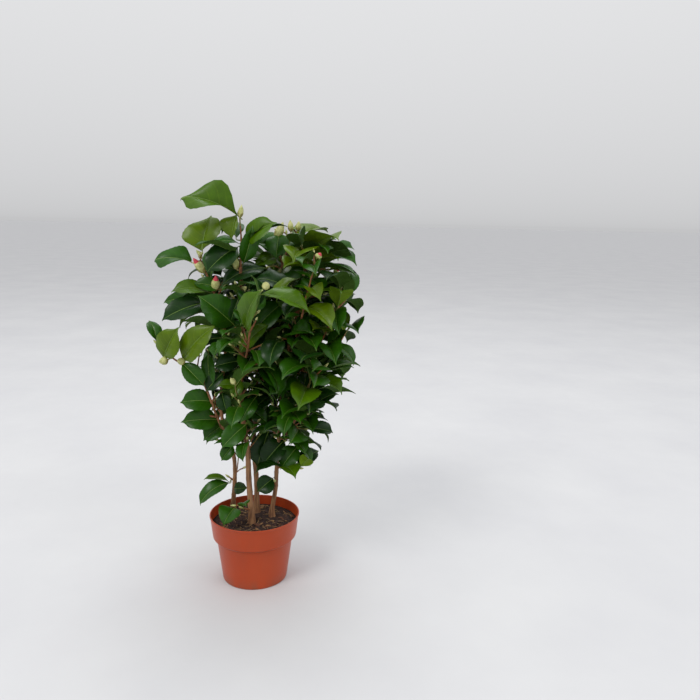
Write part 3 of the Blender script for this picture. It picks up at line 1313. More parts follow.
SEEN_LEAVES = [
    leaf_between((-20, -8, 687), (-131, -20, 721), 68, 0.68, face=(0, -0.74, 0.67),
        fold=28, bend=0.3, halves=((0.45, 3.0, 0.88), (0.62, 1.0, 0.6)), turning=1.8, twist=0.0, hook=1.45,
        waves=1.0, wave_shift=0.0, wave_depth=4.5, age="fresh", instead=("leaves_main_tip", 5)),
    leaf_between((-89, -8, 627), (-77, 22, 692), 60, 0.86, face=(-0.1, -0.85, 0.3), fold=22,
        halves=((0.52, 1.1, 0.95), (0.3, 1.4, 1.1)), twist=-0.3, age="young",
        instead=("leaves_left_upper_tip", 3)),
    leaf_between((-108, -8, 607), (-178, -20, 609), 70, 0.68, face=(0, -0.75, 0.65),
        fold=12, bend=0.4, halves=((0.22, 0.9, 0.95), (0.68, 1.4, 0.8)), turning=0.9, hook=1.8,
        age="grown", instead=("leaves_left_upper_tip", 1)),
    leaf_between((-87, -6, 594), (-116, -8, 575), 90, 0.4, face=(-0.5, -0.2, 0.85), age="old"),
    leaf_between((-126, -20, 431), (-59, -40, 501), 50, 0.5, age="young",
        instead=("leaves_left_arch_tip", 1)),
    leaf_between((-160, -20, 433), (-127, -38, 494), 40, 0.66, age="young",
        instead=("leaves_left_arch_tip", 3)),
    leaf_between((-75, 0, 347), (-135, -20, 350), 70, 0.6, age="grown",
        instead=("leaves_left_low", 2)),
    leaf_between((-67, 5, 311), (-136, -15, 311), 50, 0.54, age="grown",
        instead=("leaves_left_low", 1)),
    leaf_between((-57, 44, 170), (-112, 20, 130), 95, 0.4, face=(0, -0.5, 0.85), age="grown",
        instead=("leaves_left_foot", 1)),
    leaf_between((-59, 46, 173), (-105, 30, 182), 60, 0.36, face=(0, -0.3, 1), age="fresh"),
    leaf_between((-35, -24, 147), (-51, -56, 124), 60, 0.95, face=(-0.2, -0.8, 0.5), fold=24,
        halves=((0.36, 1.1, 1), (0.36, 1.1, 1)), age="grown", instead=("leaves_main_foot", 1)),
    leaf_between((34, 15, 193), (5, -5, 172), 60, 0.8, face=(0, -1, 0.3), age="old",
        instead=("leaves_right_foot", 1)),
    leaf_between((-11, -15, 310), (-54, -45, 271), 50, 0.55, age="grown",
        instead=("leaves_main_front", 1)),
    leaf_between((-35, -6, 598), (-66, -20, 609), 50, 0.5, age="grown"),
    leaf_between((15, 10, 484), (-6, -5, 445), 50, 0.6, face=(0, -1, 0.3), age="old"),
    leaf_between((-54, -6, 406), (-85, -20, 371), 50, 0.55, age="old"),
    leaf_between((-10, 20, 331), (26, 5, 305), 50, 0.55, age="grown"),
    leaf_between((-25, -8, 643), (-69, -30, 639), 60, 0.5, face=(0, -0.5, 0.85), age="grown"),
    leaf_between((-25, -10, 636), (-75, -45, 591), 50, 0.6, age="old"),
    leaf_between((-26, -9, 693), (-34, -20, 648), 40, 1.0, face=(-0.3, -1, 0.1), fold=10,
        halves=((0.45, 1.2, 1.05), (0.5, 0.8, 0.3)), age="young"),
    leaf_between((-16, -8, 606), (4, -20, 676), 40, 0.42, face=(0.4, -0.8, 0.2), age="grown"),
    leaf_between((-11, -8, 648), (47, -30, 681), 40, 0.6, age="fresh"),
    leaf_between((38, 55, 636), (0, 30, 642), 40, 0.6, age="grown"),
    leaf_between((42, 55, 659), (39, 30, 612), 60, 0.75, face=(0, -1, 0.3), age="grown"),
    leaf_between((38, 55, 616), (-3, 25, 600), 50, 0.55, age="fresh"),
    leaf_between((21, 20, 597), (-58, -20, 563), 60, 0.45, face=(0, -0.55, 0.83), age="old"),
    leaf_between((-79, -4, 554), (-144, -25, 555), 60, 0.48, face=(0, -0.6, 0.8), age="fresh"),
    leaf_between((-59, -4, 561), (-108, -10, 570), 50, 0.5, age="grown"),
    leaf_between((-89, -4, 534), (-161, -30, 503), 50, 0.48, age="old"),
    leaf_between((-91, 0, 542), (-170, 15, 530), 50, 0.3, age="grown"),
    leaf_between((-34, -8, 495), (-95, -30, 551), 40, 0.62, age="grown"),
    leaf_between((-24, -8, 546), (-38, -15, 503), 40, 0.6, face=(0, -1, 0.2), age="old"),
    leaf_between((3, -92, 498), (36, -152, 577), 50, 0.42, face=(-0.4, -0.8, 0.3), age="fresh"),
    leaf_between((54, 10, 535), (2, -15, 482), 50, 0.5, age="grown"),
    leaf_between((-57, -4, 470), (-110, -15, 458), 50, 0.4, age="old"),
    leaf_between((-129, -20, 426), (-84, -30, 383), 40, 0.5, face=(0.2, -0.8, 0.3), age="grown"),
    leaf_between((-83, -4, 441), (-75, -15, 376), 40, 0.38, face=(-0.2, -1, 0), age="grown"),
    leaf_between((-24, -8, 428), (-70, -24, 419), 40, 0.65, age="old"),
    leaf_between((-26, -8, 384), (-63, -28, 385), 40, 0.45, age="fresh"),
    leaf_between((-22, -8, 392), (-36, -28, 361), 40, 0.55, face=(0, -1, 0.2), age="fresh"),
    leaf_between((-24, -8, 443), (35, -20, 503), 50, 0.34, face=(-0.4, -0.8, 0.3), age="fresh"),
    leaf_between((-61, 15, 298), (-96, -5, 272), 50, 0.7, age="grown"),
    leaf_between((-59, -4, 368), (-48, -12, 328), 40, 0.6, face=(0, -1, 0.2), age="old"),
    leaf_between((4, 0, 358), (-21, -32, 315), 60, 0.48, age="grown"),
    leaf_between((-44, 20, 257), (-65, 8, 228), 50, 0.65, face=(0, -1, 0.3), age="grown"),
    leaf_between((23, 30, 281), (3, 12, 214), 50, 0.6, face=(0, -1, 0.3), age="old"),
    leaf_between((56, 20, 269), (15, -2, 223), 50, 0.62, age="old"),
    leaf_between((82, 15, 259), (49, -5, 217), 50, 0.62, age="grown"),
    leaf_between((-48, 46, 156), (-18, 36, 163), 50, 0.7, age="old"),
]

# %% Seen buds
SEEN_BUDS = [
    dict(base=(-87, -4, 588), tip=(-104, -14, 615), radius=7.0, petal=True),
    dict(base=(-68, -4, 556), tip=(-64, -14, 585), radius=7.3, petal=True),
    dict(base=(-153, -20, 430), tip=(-167, -30, 428), radius=7.0),
    dict(base=(-123, -18, 426), tip=(-134, -30, 432), radius=6.4),
    dict(base=(-29, -8, 596), tip=(-27, -18, 618), radius=5.2),
    dict(base=(36, 57, 649), tip=(50, 50, 681), radius=7.6),
    dict(base=(62, 75, 663), tip=(61, 70, 685), radius=5.0),
    dict(base=(75, 80, 665), tip=(77, 78, 683), radius=5.0),
    dict(base=(41, 58, 586), tip=(46, 50, 596), radius=2.6),
    dict(base=(-20, -8, 561), tip=(-8, -18, 565), radius=3.6),
    dict(base=(-90, -6, 618), tip=(-100, -8, 629), radius=3.2),
]
print(len(SEEN_LEAVES), "leaves and", len(SEEN_BUDS), "buds are set one by one")

# %% The leader leans
LEADER_LEAN, LEAN_POWER, LEANING_LENGTH = np.array((13.0, 0, 0)), 1.5, 90


def spray_where(key, name):
    """The first spray with this name, or the first on this limb."""
    return next(spray for spray in sprays if spray[key] == name)


leader = spray_where("name", "leaves_main_tip")
upright = leader["twigs"][0]["points"]
leader["twigs"][0]["points"] = [
    point + LEADER_LEAN * (i / (len(upright) - 1)) ** LEAN_POWER for i, point in enumerate(upright)
]
for leaf in leader["leaves"]:
    share = np.clip((leaf["root"][2] - upright[0][2]) / LEANING_LENGTH, 0, 1)
    leaf["root"] = leaf["root"] + LEADER_LEAN * share ** LEAN_POWER
print("the leader's tip is at", leader["twigs"][0]["points"][-1].round(1))

# %% The nearest wood
LONGEST_STALK, SPUR_RADIUS, WOOD_STEP = 13.0, 1.5, 4
STALK_ROOM, SPUR_RISE, SPUR_BEND = 6.0, 0.06, 2.0
SHORT_BOUGHS = ("bough_main_1", "bough_main_3")
wood_places, wood_holders, used_heights = [], [], {}
routes = [(limb["name"], limb["points"], spray_where("on", limb["name"])) for limb in limbs]
routes += [(spray["on"], spray["twigs"][0]["points"], spray) for spray in sprays]
for limb_name, route, holder in routes:
    if limb_name not in SHORT_BOUGHS:
        found = smooth_path(route, WOOD_STEP)
        wood_places += found
        wood_holders += [holder] * len(found)
print("wood at", len(wood_places), "places")


def join_to_wood(base, way):
    """The nearest spray and where to root, with a spur where the wood is far."""
    gaps = np.linalg.norm(np.array(wood_places) - base, axis=1)
    nearest = int(gaps.argmin())
    spray, root = wood_holders[nearest], wood_places[nearest]
    used_heights[spray["on"]] = max(used_heights.get(spray["on"], 0), root[2])
    if gaps[nearest] <= LONGEST_STALK:
        return spray, root
    end = base - way * STALK_ROOM
    middle = (root + end) / 2 + UP * (SPUR_RISE * gaps[nearest]) - way * SPUR_BEND
    spray["twigs"].append(dict(points=[root, middle, end], radius=SPUR_RADIUS, turn=0.0, kept=True))
    return spray, end


# %% Set the seen leaves
SHAPE_KEYS = "age", "halves", "turning", "twist", "hook", "bend", "waves", "wave_shift", "wave_depth"
for number, plan in enumerate(SEEN_LEAVES):
    base, tip = np.array(plan["base"], float), np.array(plan["tip"], float)
    spray, root = join_to_wood(base, unit(tip - base))
    leaf = bowed_leaf(plan, root, base, tip, face=FRONT_AND_UP, fold=18)
    finish_leaf(leaf, dice(7000 + number))
    leaf.update({key: plan[key] for key in SHAPE_KEYS if key in plan})
    if "instead" in plan:
        spray = spray_where("name", plan["instead"][0])
        leaf["at"] = (0, plan["instead"][1])
        spray["leaves"] = [old for old in spray["leaves"] if old.get("at") != leaf["at"]]
    spray["leaves"].append(leaf)

# %% Set the seen buds
LEADER_BUD_WAY, LEADER_BUD_LENGTH, LEADER_BUD_RADIUS = np.array((4.0, -2.0, 23.0)), 23.0, 4.6
for plan in SEEN_BUDS:
    base, tip = np.array(plan["base"], float), np.array(plan["tip"], float)
    spray, root = join_to_wood(base, unit(tip - base))
    spray["buds"].append(dict(
        root=base, aim=unit(tip - base), length=math.dist(tip, base), radius=plan["radius"],
        petal=plan.get("petal", False), neck=root, seen=True))
leader["buds"].append(dict(
    root=leader["twigs"][0]["points"][-1], aim=unit(LEADER_BUD_WAY), length=LEADER_BUD_LENGTH,
    radius=LEADER_BUD_RADIUS, petal=False, seen=True))

# %% A twiglet without leaves
TWIGLET_RADIUS, TWIGLET_STEP = 0.9, 9
BARE_TWIGLET = [
    [(-47, 44, 172), (-40, 40, 199), (-35, 34, 232), (-25, 24, 262)],
    [(-37, 34, 228), (-42, 32, 237), (-46, 30, 243)],
    [(-42, 41, 192), (-35, 37, 200), (-27, 34, 205)],
]
for route in BARE_TWIGLET:
    points = smooth_path([np.array(point, float) for point in route], TWIGLET_STEP)
    spray_where("name", "leaves_left_foot")["twigs"].append(
        dict(points=points, radius=TWIGLET_RADIUS, turn=0.0, kept=True))
print("spurs:", sum("kept" in twig for spray in sprays for twig in spray["twigs"]))

# %% [markdown]
# ## Room for them
# Some leaves of the rule stand before a seen leaf, or in places where the picture shows open
# air. They are left out, with the twigs that held nothing else. The open places are boxes in
# the picture, in pixels: left, top, right and bottom.

# %% Where leaves show in the picture
FINE = 2.5
FINE_ALONG = np.linspace(0.02, 1, 38)
OPEN_PLACES = [
    (100, 100, 300, 214), (100, 100, 214, 250), (100, 100, 203, 284), (100, 284, 178, 330),
    (100, 330, 200, 392), (100, 392, 205, 445), (100, 445, 220, 462), (100, 462, 232, 700),
    (300, 100, 345, 222), (345, 100, 700, 240), (260, 472, 700, 700),
]


def fine_blade(leaf):
    sides = np.linspace(-1, 1, 2 * max(2, math.ceil(leaf["width"] / 2 / FINE)) + 1)
    return blade_points(leaf, FINE_ALONG, np.tile(sides, (len(FINE_ALONG), 1)))[0]


camera_inverse = np.array(camera.matrix_world.inverted())


def picture_places(points):
    """Where points show in the picture, in pixels, and their distance in millimetres."""
    seen = (points.reshape(-1, 3) * MM) @ camera_inverse[:3, :3].T + camera_inverse[:3, 3]
    depth = -seen[:, 2]
    middle = PHOTO_WIDTH / 2
    return middle + FOCAL_PIXELS * seen[:, 0] / depth, middle - FOCAL_PIXELS * seen[:, 1] / depth, depth / MM


# %% What hides what
BUD_SHARES = (0.3, 0.6, 0.9)
nearest_seen = np.full((PHOTO_WIDTH // 2, PHOTO_WIDTH // 2), np.inf)
nearest_bud = nearest_seen.copy()


def pixel_pairs(x, y):
    """Every second row and column is enough to tell what hides what."""
    return (y / 2).astype(int), (x / 2).astype(int)


for spray in sprays:
    for bud in spray["buds"]:
        if "seen" in bud:
            x, y, depth = picture_places(bud["root"] + np.outer(BUD_SHARES, bud["aim"] * bud["length"]))
            np.minimum.at(nearest_bud, pixel_pairs(x, y), depth)
    for leaf in spray["leaves"]:
        if "seen" in leaf:
            x, y, depth = picture_places(fine_blade(leaf))
            np.minimum.at(nearest_seen, pixel_pairs(x, y), depth)
print("seen leaves cover", int(np.isfinite(nearest_seen).sum()) * 4, "pixels")

# %% Leaves in the way
MOST_HIDDEN, MOST_IN_THE_OPEN, DEPTH_ROOM = 0.1, 0.05, 4


def is_open(x, y):
    """Whether the picture shows open air at a pixel."""
    found = np.zeros(np.shape(x), bool)
    for left, top, right, bottom in OPEN_PLACES:
        found |= (x > left) & (x < right) & (y > top) & (y < bottom)
    return found


def is_in_the_way(leaf):
    """Whether a leaf hides a seen one or shows where the picture has no leaf."""
    x, y, depth = picture_places(fine_blade(leaf))
    here = pixel_pairs(x, y)
    hidden = (depth < nearest_seen[here] - DEPTH_ROOM) & np.isfinite(nearest_seen[here])
    hides_bud = (depth < nearest_bud[here]) & np.isfinite(nearest_bud[here])
    hides = hidden.mean() > MOST_HIDDEN or hides_bud.any()
    return bool(hides or is_open(x, y).mean() > MOST_IN_THE_OPEN)


# %% Prune the sprays
def prune(spray):
    """Drops leaves in the way, and the twigs and buds past the last leaf."""
    before = len(spray["leaves"])
    spray["leaves"] = [leaf for leaf in spray["leaves"] if spray["on"] not in SHORT_BOUGHS
                       and ("seen" in leaf or not is_in_the_way(leaf))]
    own = spray["twigs"]
    last_used = {0: 0}
    for leaf in spray["leaves"]:
        number, node = leaf.get("at", (0, 0))
        last_used[number] = max(last_used.get(number, 0), node)
    for number, twig in enumerate(own):
        if number in last_used and "start" in twig:
            last_used[0] = max(last_used[0], twig["start"])
    spray["buds"] = [bud for bud in spray["buds"] if "seen" in bud or
                     last_used.get(bud["on"], 0) >= len(own[bud["on"]]["points"]) - 2
                     and not is_open(*picture_places(bud["root"])[:2]).any()]
    for number, twig in enumerate(own):
        if "kept" not in twig:
            twig["points"] = twig["points"][:last_used.get(number, 0) + 1]
    spray["twigs"] = [twig for twig in own if len(twig["points"]) > 1]
    return before - len(spray["leaves"])


print("left out", sum(prune(spray) for spray in sprays), "leaves")

# %% [markdown]
# ## More leaves where there is room
# The solids keep clear of each other by a few millimetres, so they leave out some leaves. The
# dressed plant adds them as short spurs by the same rule, in finer cubes, and never outside
# the crown.

# %% Finer cubes
FINE_START, FINE_WOOD_STEP = np.array((-110, -110, 30)), 2.0
taken = np.zeros((220, 220, 300), np.int32)


def fine_cubes(points):
    cubes = np.floor(np.asarray(points).reshape(-1, 3) / FINE).astype(int) - FINE_START
    return tuple(np.clip(cubes, 0, np.array(taken.shape) - 1).T)


def fine_wood(points, radius):
    fine = smooth_path(points, FINE_WOOD_STEP)
    around = [turn(some_side(way), way, k * math.pi / 2) * radius for way in headings(fine) for k in range(4)]
    return np.array(fine), np.repeat(np.array(fine), 4, axis=0) + np.array(around)


# %% Mark what stands there
GIRTH_SHARE, FINE_BUD_SHARES = 0.7, (0.3, 0.5, 0.7, 0.9)
mark = 1
for limb in limbs:
    for points in fine_wood(limb["points"], max(limb["radii"][-1], limb["base"] * GIRTH_SHARE)):
        taken[fine_cubes(points)] = mark
for spray in sprays:
    for twig in spray["twigs"]:
        mark += 1
        twig["mark"] = mark
        taken[fine_cubes(fine_wood(twig["points"], twig["radius"])[0])] = mark
    for bud in spray["buds"]:
        for share in FINE_BUD_SHARES:
            centre = bud["root"] + bud["aim"] * (bud["length"] * share)
            taken[fine_cubes(centre + NEIGHBOURS * FINE)] = mark
    for leaf in spray["leaves"]:
        mark += 1
        taken[fine_cubes(fine_blade(leaf))] = mark
print("the leaves take", int((taken > 0).sum()), "fine cubes")

# %% Whether a leaf fits
SPUR_GOES = [
    (shrink, tilt, swing)
    for shrink in (1, 0.82, 0.66)
    for tilt in (0.1, 0.5, -0.35, 0.9)
    for swing in (0, 30, -30, 60, -60, 95, -95, 130, -130, 165)
]
CLEAR_SHARE, SPUR_OVERHANG, SPUR_CLEARANCE = 0.16, 2.0, 8
FEW_ALONG = FINE_ALONG[::5]
FEW_ACROSS = np.tile((-1.0, 0.0, 1.0), (len(FEW_ALONG), 1))


def is_clear(points, along, own_mark):
    """Whether the blade touches nothing but its own twig, and that near its root."""
    found = taken[fine_cubes(points)].reshape(points.shape[:2])
    near_root = (along < CLEAR_SHARE)[:, None]
    return not ((found > 0) & ~(near_root & (found == own_mark))).any()


def fits_finely(leaf, own_mark):
    """Tests a few points first, then the crown, the whole blade and the picture."""
    if not is_clear(blade_points(leaf, FEW_ALONG, FEW_ACROSS)[0], FEW_ALONG, own_mark):
        return False
    points = fine_blade(leaf)
    if is_outside(points, SPUR_OVERHANG) or points[..., 2].min() < SOIL_TOP + SPUR_CLEARANCE:
        return False
    return is_clear(points, FINE_ALONG, own_mark) and not is_in_the_way(leaf)


print(len(SPUR_GOES), "ways to turn and shrink a leaf")


# %% One more leaf at a node
def fill_node(spray, twig, i, scale, seed, youth=1.0):
    """One more leaf at a node, if it finds a way between the others."""
    global mark
    roll = dice(seed)
    ways = headings(twig["points"])
    angle = twig["turn"] + math.radians(i * TURN_PER_LEAF) + 2.6 * roll()
    small = {"owner": twig["mark"], "scale": scale * (0.85 + 0.3 * roll())}

    def fits(leaf, own_mark):
        finish_leaf(leaf, dice(seed + 9))
        return fits_finely(leaf, own_mark)

    leaf = rule_leaf(small, leaf_root(twig["points"], i), ways[i], angle, roll, SPUR_GOES, fits)
    if leaf:
        mark += 1
        leaf["seed"] *= youth
        taken[fine_cubes(fine_blade(leaf))] = mark
        spray["leaves"].append(leaf)
    return leaf is not None


def is_room_for(points, skipped, own_mark=0):
    """Whether a twig is free past its first few points, or only crosses its own twig."""
    found = taken[fine_cubes(fine_wood(points, 1)[0][skipped:])]
    return bool(np.isin(found, (0, own_mark)).all())


def grow_leafy(spray, twig, scale, seed_of, youth=1.0):
    """Puts up to two leaves on a short twig, and keeps the twig if one of them fits."""
    taken[fine_cubes(fine_wood(twig["points"], 1)[0])] = twig["mark"]
    grown = [fill_node(spray, twig, k, scale, seed_of(k), youth) for k in (1, 2)]
    if any(grown):
        spray["twigs"].append(twig)
    return any(grown)


# %% Short shoots along the limbs
LOWEST_SHOOT, SHOOT_AGE, SHOOT_SCALES = 250, 0.6, (0.88, 0.74, 0.6)


def add_short_shoots(limb, scale, seed):
    """Short shoots with one or two leaves along a limb, where there is room."""
    global mark
    spray = spray_where("on", limb["name"])
    roll = dice(seed)
    points = smooth_path(limb["points"], WOOD_STEP)
    ways = headings(points)
    place, angle, count = 3, 2 * math.pi * roll(), 0
    while place < len(points) - 3:
        start, way = points[place], ways[place]
        place += 3 + int(2.5 * roll())
        angle += math.radians(TURN_PER_LEAF)
        radial = turn(some_side(way), way, angle)
        shoot = grow_twig(start, unit(way * 0.4 + radial + UP * 0.3), 16 + 24 * roll(), LIFT, roll)
        if start[2] < LOWEST_SHOOT or not is_room_for(shoot, 5):
            continue
        mark += 1
        twig = dict(points=shoot, radius=SPUR_RADIUS, turn=roll() * 2 * math.pi, mark=mark, kept=True)
        if grow_leafy(spray, twig, scale, lambda k: 60000 + mark * 5 + k, SHOOT_AGE):
            used_heights[limb["name"]] = max(used_heights.get(limb["name"], 0), start[2])
            count += 1
    return count


before = leaf_count()
long_limbs = [limb for limb in limbs if limb["name"] not in SHORT_BOUGHS]
short_shoots = sum(
    add_short_shoots(limb, scale, 8000 + 100 * part + number)
    for part, scale in enumerate(SHOOT_SCALES) for number, limb in enumerate(long_limbs)
)
print(short_shoots, "short shoots along the limbs")

# %% Fill the bare nodes
FILL_SCALE = 0.85
for number, (spray, twig, i) in enumerate(bare_nodes):
    if i >= len(twig["points"]) or not any(twig is own for own in spray["twigs"]):
        continue
    fill_node(spray, twig, i, FILL_SCALE * spray.get("scale", 1), 90000 + number)
print("now", leaf_count(), "leaves")

# %% Spurs on the twigs
SPUR_SCALE, SPUR_SHARE = 0.72, 0.6
spurs = 0
for spray in sprays:
    roll = dice(spray["owner"] + 6000)
    for twig in list(spray["twigs"]):
        ways = headings(twig["points"])
        for i in range(1, len(twig["points"])):
            wanted = roll() < SPUR_SHARE and "scale" not in spray and "kept" not in twig
            radial = turn(some_side(ways[i]), ways[i], roll() * 2 * math.pi)
            heading = unit(ways[i] * 0.9 + radial + outward(twig["points"][i]) * 0.3)
            points = grow_twig(twig["points"][i], heading, 16 + 18 * roll(), LIFT, roll)
            if not wanted or not is_room_for(points, 4, twig["mark"]):
                continue
            mark += 1
            spur = dict(points=points, radius=SPUR_RADIUS, turn=roll() * 2 * math.pi, mark=mark)
            spurs += grow_leafy(spray, spur, SPUR_SCALE, lambda k: spray["owner"] * 400 + spurs * 7 + k)
print("spurs:", spurs, "and leaves:", before, "became", leaf_count())

# %% [markdown]
# ## Stems and boughs
# Thin, slightly ridged bark covers the four stems. A curve with a bevel would give a smooth
# pipe. A tube of rings, each ring a little uneven, gives upright ridges, a swollen place
# wherever a leaf once stood, and a foot that spreads into the soil.

# %% The bark
BARK_SIDES, BARK_STEP = 22, 3.5
RIDGE_SHARE, FINE_SHARE, NODE_SHARE, SCAR_SHARE, NODE_LENGTH = 0.07, 0.035, 0.07, 0.13, 2.6


def bark_tube(basket, plan, seed):
    """A limb's bark with its nodes and scars, shortened if it is a bare bough."""
    limb = make_limb(plan, BARK_STEP)
    points, radii = limb["points"], limb["radii"]
    if plan["name"] in bare_boughs:
        points = [point for point in points if point[2] < bare_boughs[plan["name"]]]
        radii = [r * (1 - 0.5 * i / len(points)) for i, r in enumerate(radii[:len(points)])]
    if "on" not in plan:
        points, radii = [points[0] - UP * 4] + points, [radii[0] * 1.06] + radii
    roll = dice(seed)
    spacing, shift = 24 + 6 * roll(), 20 * roll()
    lengths = [0.0]
    for a, b in zip(points, points[1:]):
        lengths.append(lengths[-1] + math.dist(a, b))

    def radius_at(i, angle):
        along = lengths[i]
        node = math.exp(-(((along + shift) % spacing - spacing / 2) / NODE_LENGTH) ** 2)
        scar = 2.4 * ((along + shift) // spacing)
        x, y = math.cos(angle), math.sin(angle)
        ridge = noise.noise(Vector((x * 1.9, y * 1.9, along / 26 + seed)))
        fine = noise.noise(Vector((x * 5.0, y * 5.0, along / 9 + seed)))
        facing = max(0.0, math.cos(angle - scar))
        relief = RIDGE_SHARE * ridge + FINE_SHARE * fine + node * (NODE_SHARE + SCAR_SHARE * facing ** 3)
        return radii[i] * (1 + relief)

    basket.add(tube(points, BARK_SIDES, radius_at), open_faces(len(points), BARK_SIDES))


# %% Boughs that end early
STUB_HEIGHT, PAST_LAST_SPUR = 14, 5
bare_boughs = {}
for limb in limbs[len(STEMS) + len(FORK):]:
    if not any(len(twig["points"]) > 1 and "kept" not in twig
               for spray in sprays if spray["on"] == limb["name"] for twig in spray["twigs"]):
        stub = limb["points"][0][2] + STUB_HEIGHT
        bare_boughs[limb["name"]] = max(stub, used_heights.get(limb["name"], 0) + PAST_LAST_SPUR)
print("boughs that end early:", sorted(bare_boughs))

# %% Stems and boughs into one mesh
basket = Basket()
for number, plan in enumerate(limb_plans):
    bark_tube(basket, plan, number + 1)
wood = basket.to_object("stems_and_boughs", [BARK])
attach(wood, "root")
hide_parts(*[limb["name"] for limb in limbs])

# %% [markdown]
# ## Twigs
# Camellia twigs zig-zag from leaf to leaf and thicken at each node. Each one is a short tube
# through the points that the rule gave, with a slim green bud at its end.

# %% The twigs
TWIG_SIDES, TWIG_STEP, TWIG_END_RADIUS = 9, 3.4, 1.15
NODE_SWELLING, YOUNG_SHARE = 0.26, 0.4
GREEN_FROM, YOUNG_GREEN_FROM = 0.8, 0.45


def twig_tube(basket, twig, young, seed):
    """A twig, swollen at its nodes and green toward its end."""
    corners = twig["points"]
    points = smooth_path(corners, TWIG_STEP)
    base = min(twig["radius"], TWIG_RADIUS)
    lengths = np.concatenate(((0,), np.cumsum([math.dist(a, b) for a, b in zip(points, points[1:])])))
    nodes = [lengths[min(range(len(points)), key=lambda i, c=corner: math.dist(points[i], c))]
             for corner in corners[1:]]

    def radius_at(i, angle):
        radius = base + (TWIG_END_RADIUS - base) * (lengths[i] / lengths[-1])
        swelling = NODE_SWELLING * sum(math.exp(-((lengths[i] - node + 2.5) / 2.4) ** 2) for node in nodes)
        uneven = 0.06 * noise.noise(Vector((math.cos(angle), math.sin(angle), lengths[i] / 7 + seed)))
        return radius * (1 + swelling + uneven)

    faces = open_faces(len(points), TWIG_SIDES)
    green_from = len(points) * (YOUNG_GREEN_FROM if young else GREEN_FROM)
    paints = [int(i // TWIG_SIDES > green_from) for i in range(len(faces))]
    basket.add(tube(points, TWIG_SIDES, radius_at), faces, paints)


roll = dice(77)
basket = Basket()
for spray in sprays:
    for number, twig in enumerate(spray["twigs"]):
        twig_tube(basket, twig, roll() < YOUNG_SHARE, spray["owner"] + number * 0.37)
twigs = basket.to_object("twigs", [TWIG, SHOOT])
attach(twigs, "root")

# %% [markdown]
# ## Drawing the leaves
# Old leaves are dark, those of this year brighter, and the youngest are yellow-green. Each
# spray leans to one age and each leaf throws dice for its own. The leaves of one stem become
# one object, with a stalk for each leaf.

# %% A leaf's age
AGES = list(LEAF_TINTS)
OLD_UP_TO, GROWN_UP_TO, FRESH_UP_TO = 0.34, 0.78, 0.97
TIP_LEAN, TOP_LEAN, TOP_HEIGHT = 0.16, 0.1, 560


def leaf_age(spray, leaf):
    """The age that is known, or one by chance, younger at the ends and at the top."""
    if "age" in leaf:
        return leaf["age"]
    lean = (TIP_LEAN if spray.get("tip") else 0.0) + TOP_LEAN * (leaf["base"][2] > TOP_HEIGHT)
    return AGES[int(np.searchsorted((OLD_UP_TO, GROWN_UP_TO, FRESH_UP_TO), leaf["seed"] * 0.95 + lean))]


print("the ages are", AGES)

# %% One leaf's surface
MIDRIB_PAINT, STALK_PAINT = len(UPPER) + len(UNDER), len(UPPER) + len(UNDER) + 1
TOOTH, GROOVE, RIB_DEPTH, RIB_FLANK = 0.016, 0.4, 0.75, 0.25


def blade_columns(leaf):
    """How far across each column of points lies; the middle three make the midrib."""
    t = LEAF_SHARES
    half = drawn_half_width(leaf, t)
    rib = np.minimum(RIB_HALF_WIDTH * (1 - 0.72 * t) * min(1.0, leaf["length"] / 60), half * 0.6) / half
    right = rib[:, None] + (1 - rib[:, None]) * SIDE_SHARES
    return np.hstack((-right[:, ::-1], np.zeros((len(t), 1)), right))


def blade_faces(points_across, upper_paint, under_paint):
    """The faces of both skins, the material of each and the points of the margin."""
    rows, middle = len(LEAF_SHARES), points_across // 2
    stride = 2 * points_across - 2
    under = [0, *range(points_across, stride), points_across - 1]
    faces, paints = [], []
    for row in range(rows - 1):
        a, b = row * stride, (row + 1) * stride
        for c in range(points_across - 1):
            on_rib = c in (middle - 1, middle)
            faces.append((a + c, b + c, b + c + 1, a + c + 1))
            faces.append((a + under[c], a + under[c + 1], b + under[c + 1], b + under[c]))
            paints += [MIDRIB_PAINT if on_rib else upper_paint, MIDRIB_PAINT if on_rib else under_paint]
    sharp = [row * stride + c for row in range(rows) for c in (0, points_across - 1)]
    return faces, paints, sharp


def draw_blade(basket, leaf, age):
    """A thin closed blade with a saw edge, a groove above and a midrib below."""
    t, s = LEAF_SHARES, blade_columns(leaf)
    columns, middle = s.shape[1], s.shape[1] // 2
    teeth = 1 + TOOTH * (-1) ** np.arange(len(t))
    s_drawn = s.copy()
    s_drawn[:, 0] *= teeth
    s_drawn[:, -1] *= teeth
    upper, ups = blade_points(leaf, t, s_drawn)
    lower = upper - ups[:, None] * (BLADE_THICKNESS * (1 - np.abs(s) ** 3))[..., None]
    upper[:, middle] -= ups * (GROOVE * (1 - 0.8 * t))[:, None]
    lower[:, middle] -= ups * (RIB_DEPTH * (1 - 0.75 * t))[:, None]
    for column in (middle - 1, middle + 1):
        lower[:, column] -= ups * (RIB_FLANK * (1 - 0.75 * t))[:, None]
    points = np.concatenate((upper, lower[:, 1:-1]), axis=1).reshape(-1, 3)
    shares = np.concatenate((s, s[:, 1:-1]), axis=1)
    along = np.repeat(t[:, None], shares.shape[1], axis=1)
    places = np.stack((0.5 + shares / 2, along), -1).reshape(-1, 2)
    under_paint = len(UPPER) + (age in ("fresh", "young"))
    faces, paints, sharp = blade_faces(columns, AGES.index(age), under_paint)
    basket.add(points, faces, paints, places, sharp)


# %% Its stalk
STALK_SIDES, STALK_STEP, STALK_RADII, FULL_STALK_LENGTH = 6, 2.4, (1.15, 0.62), 70


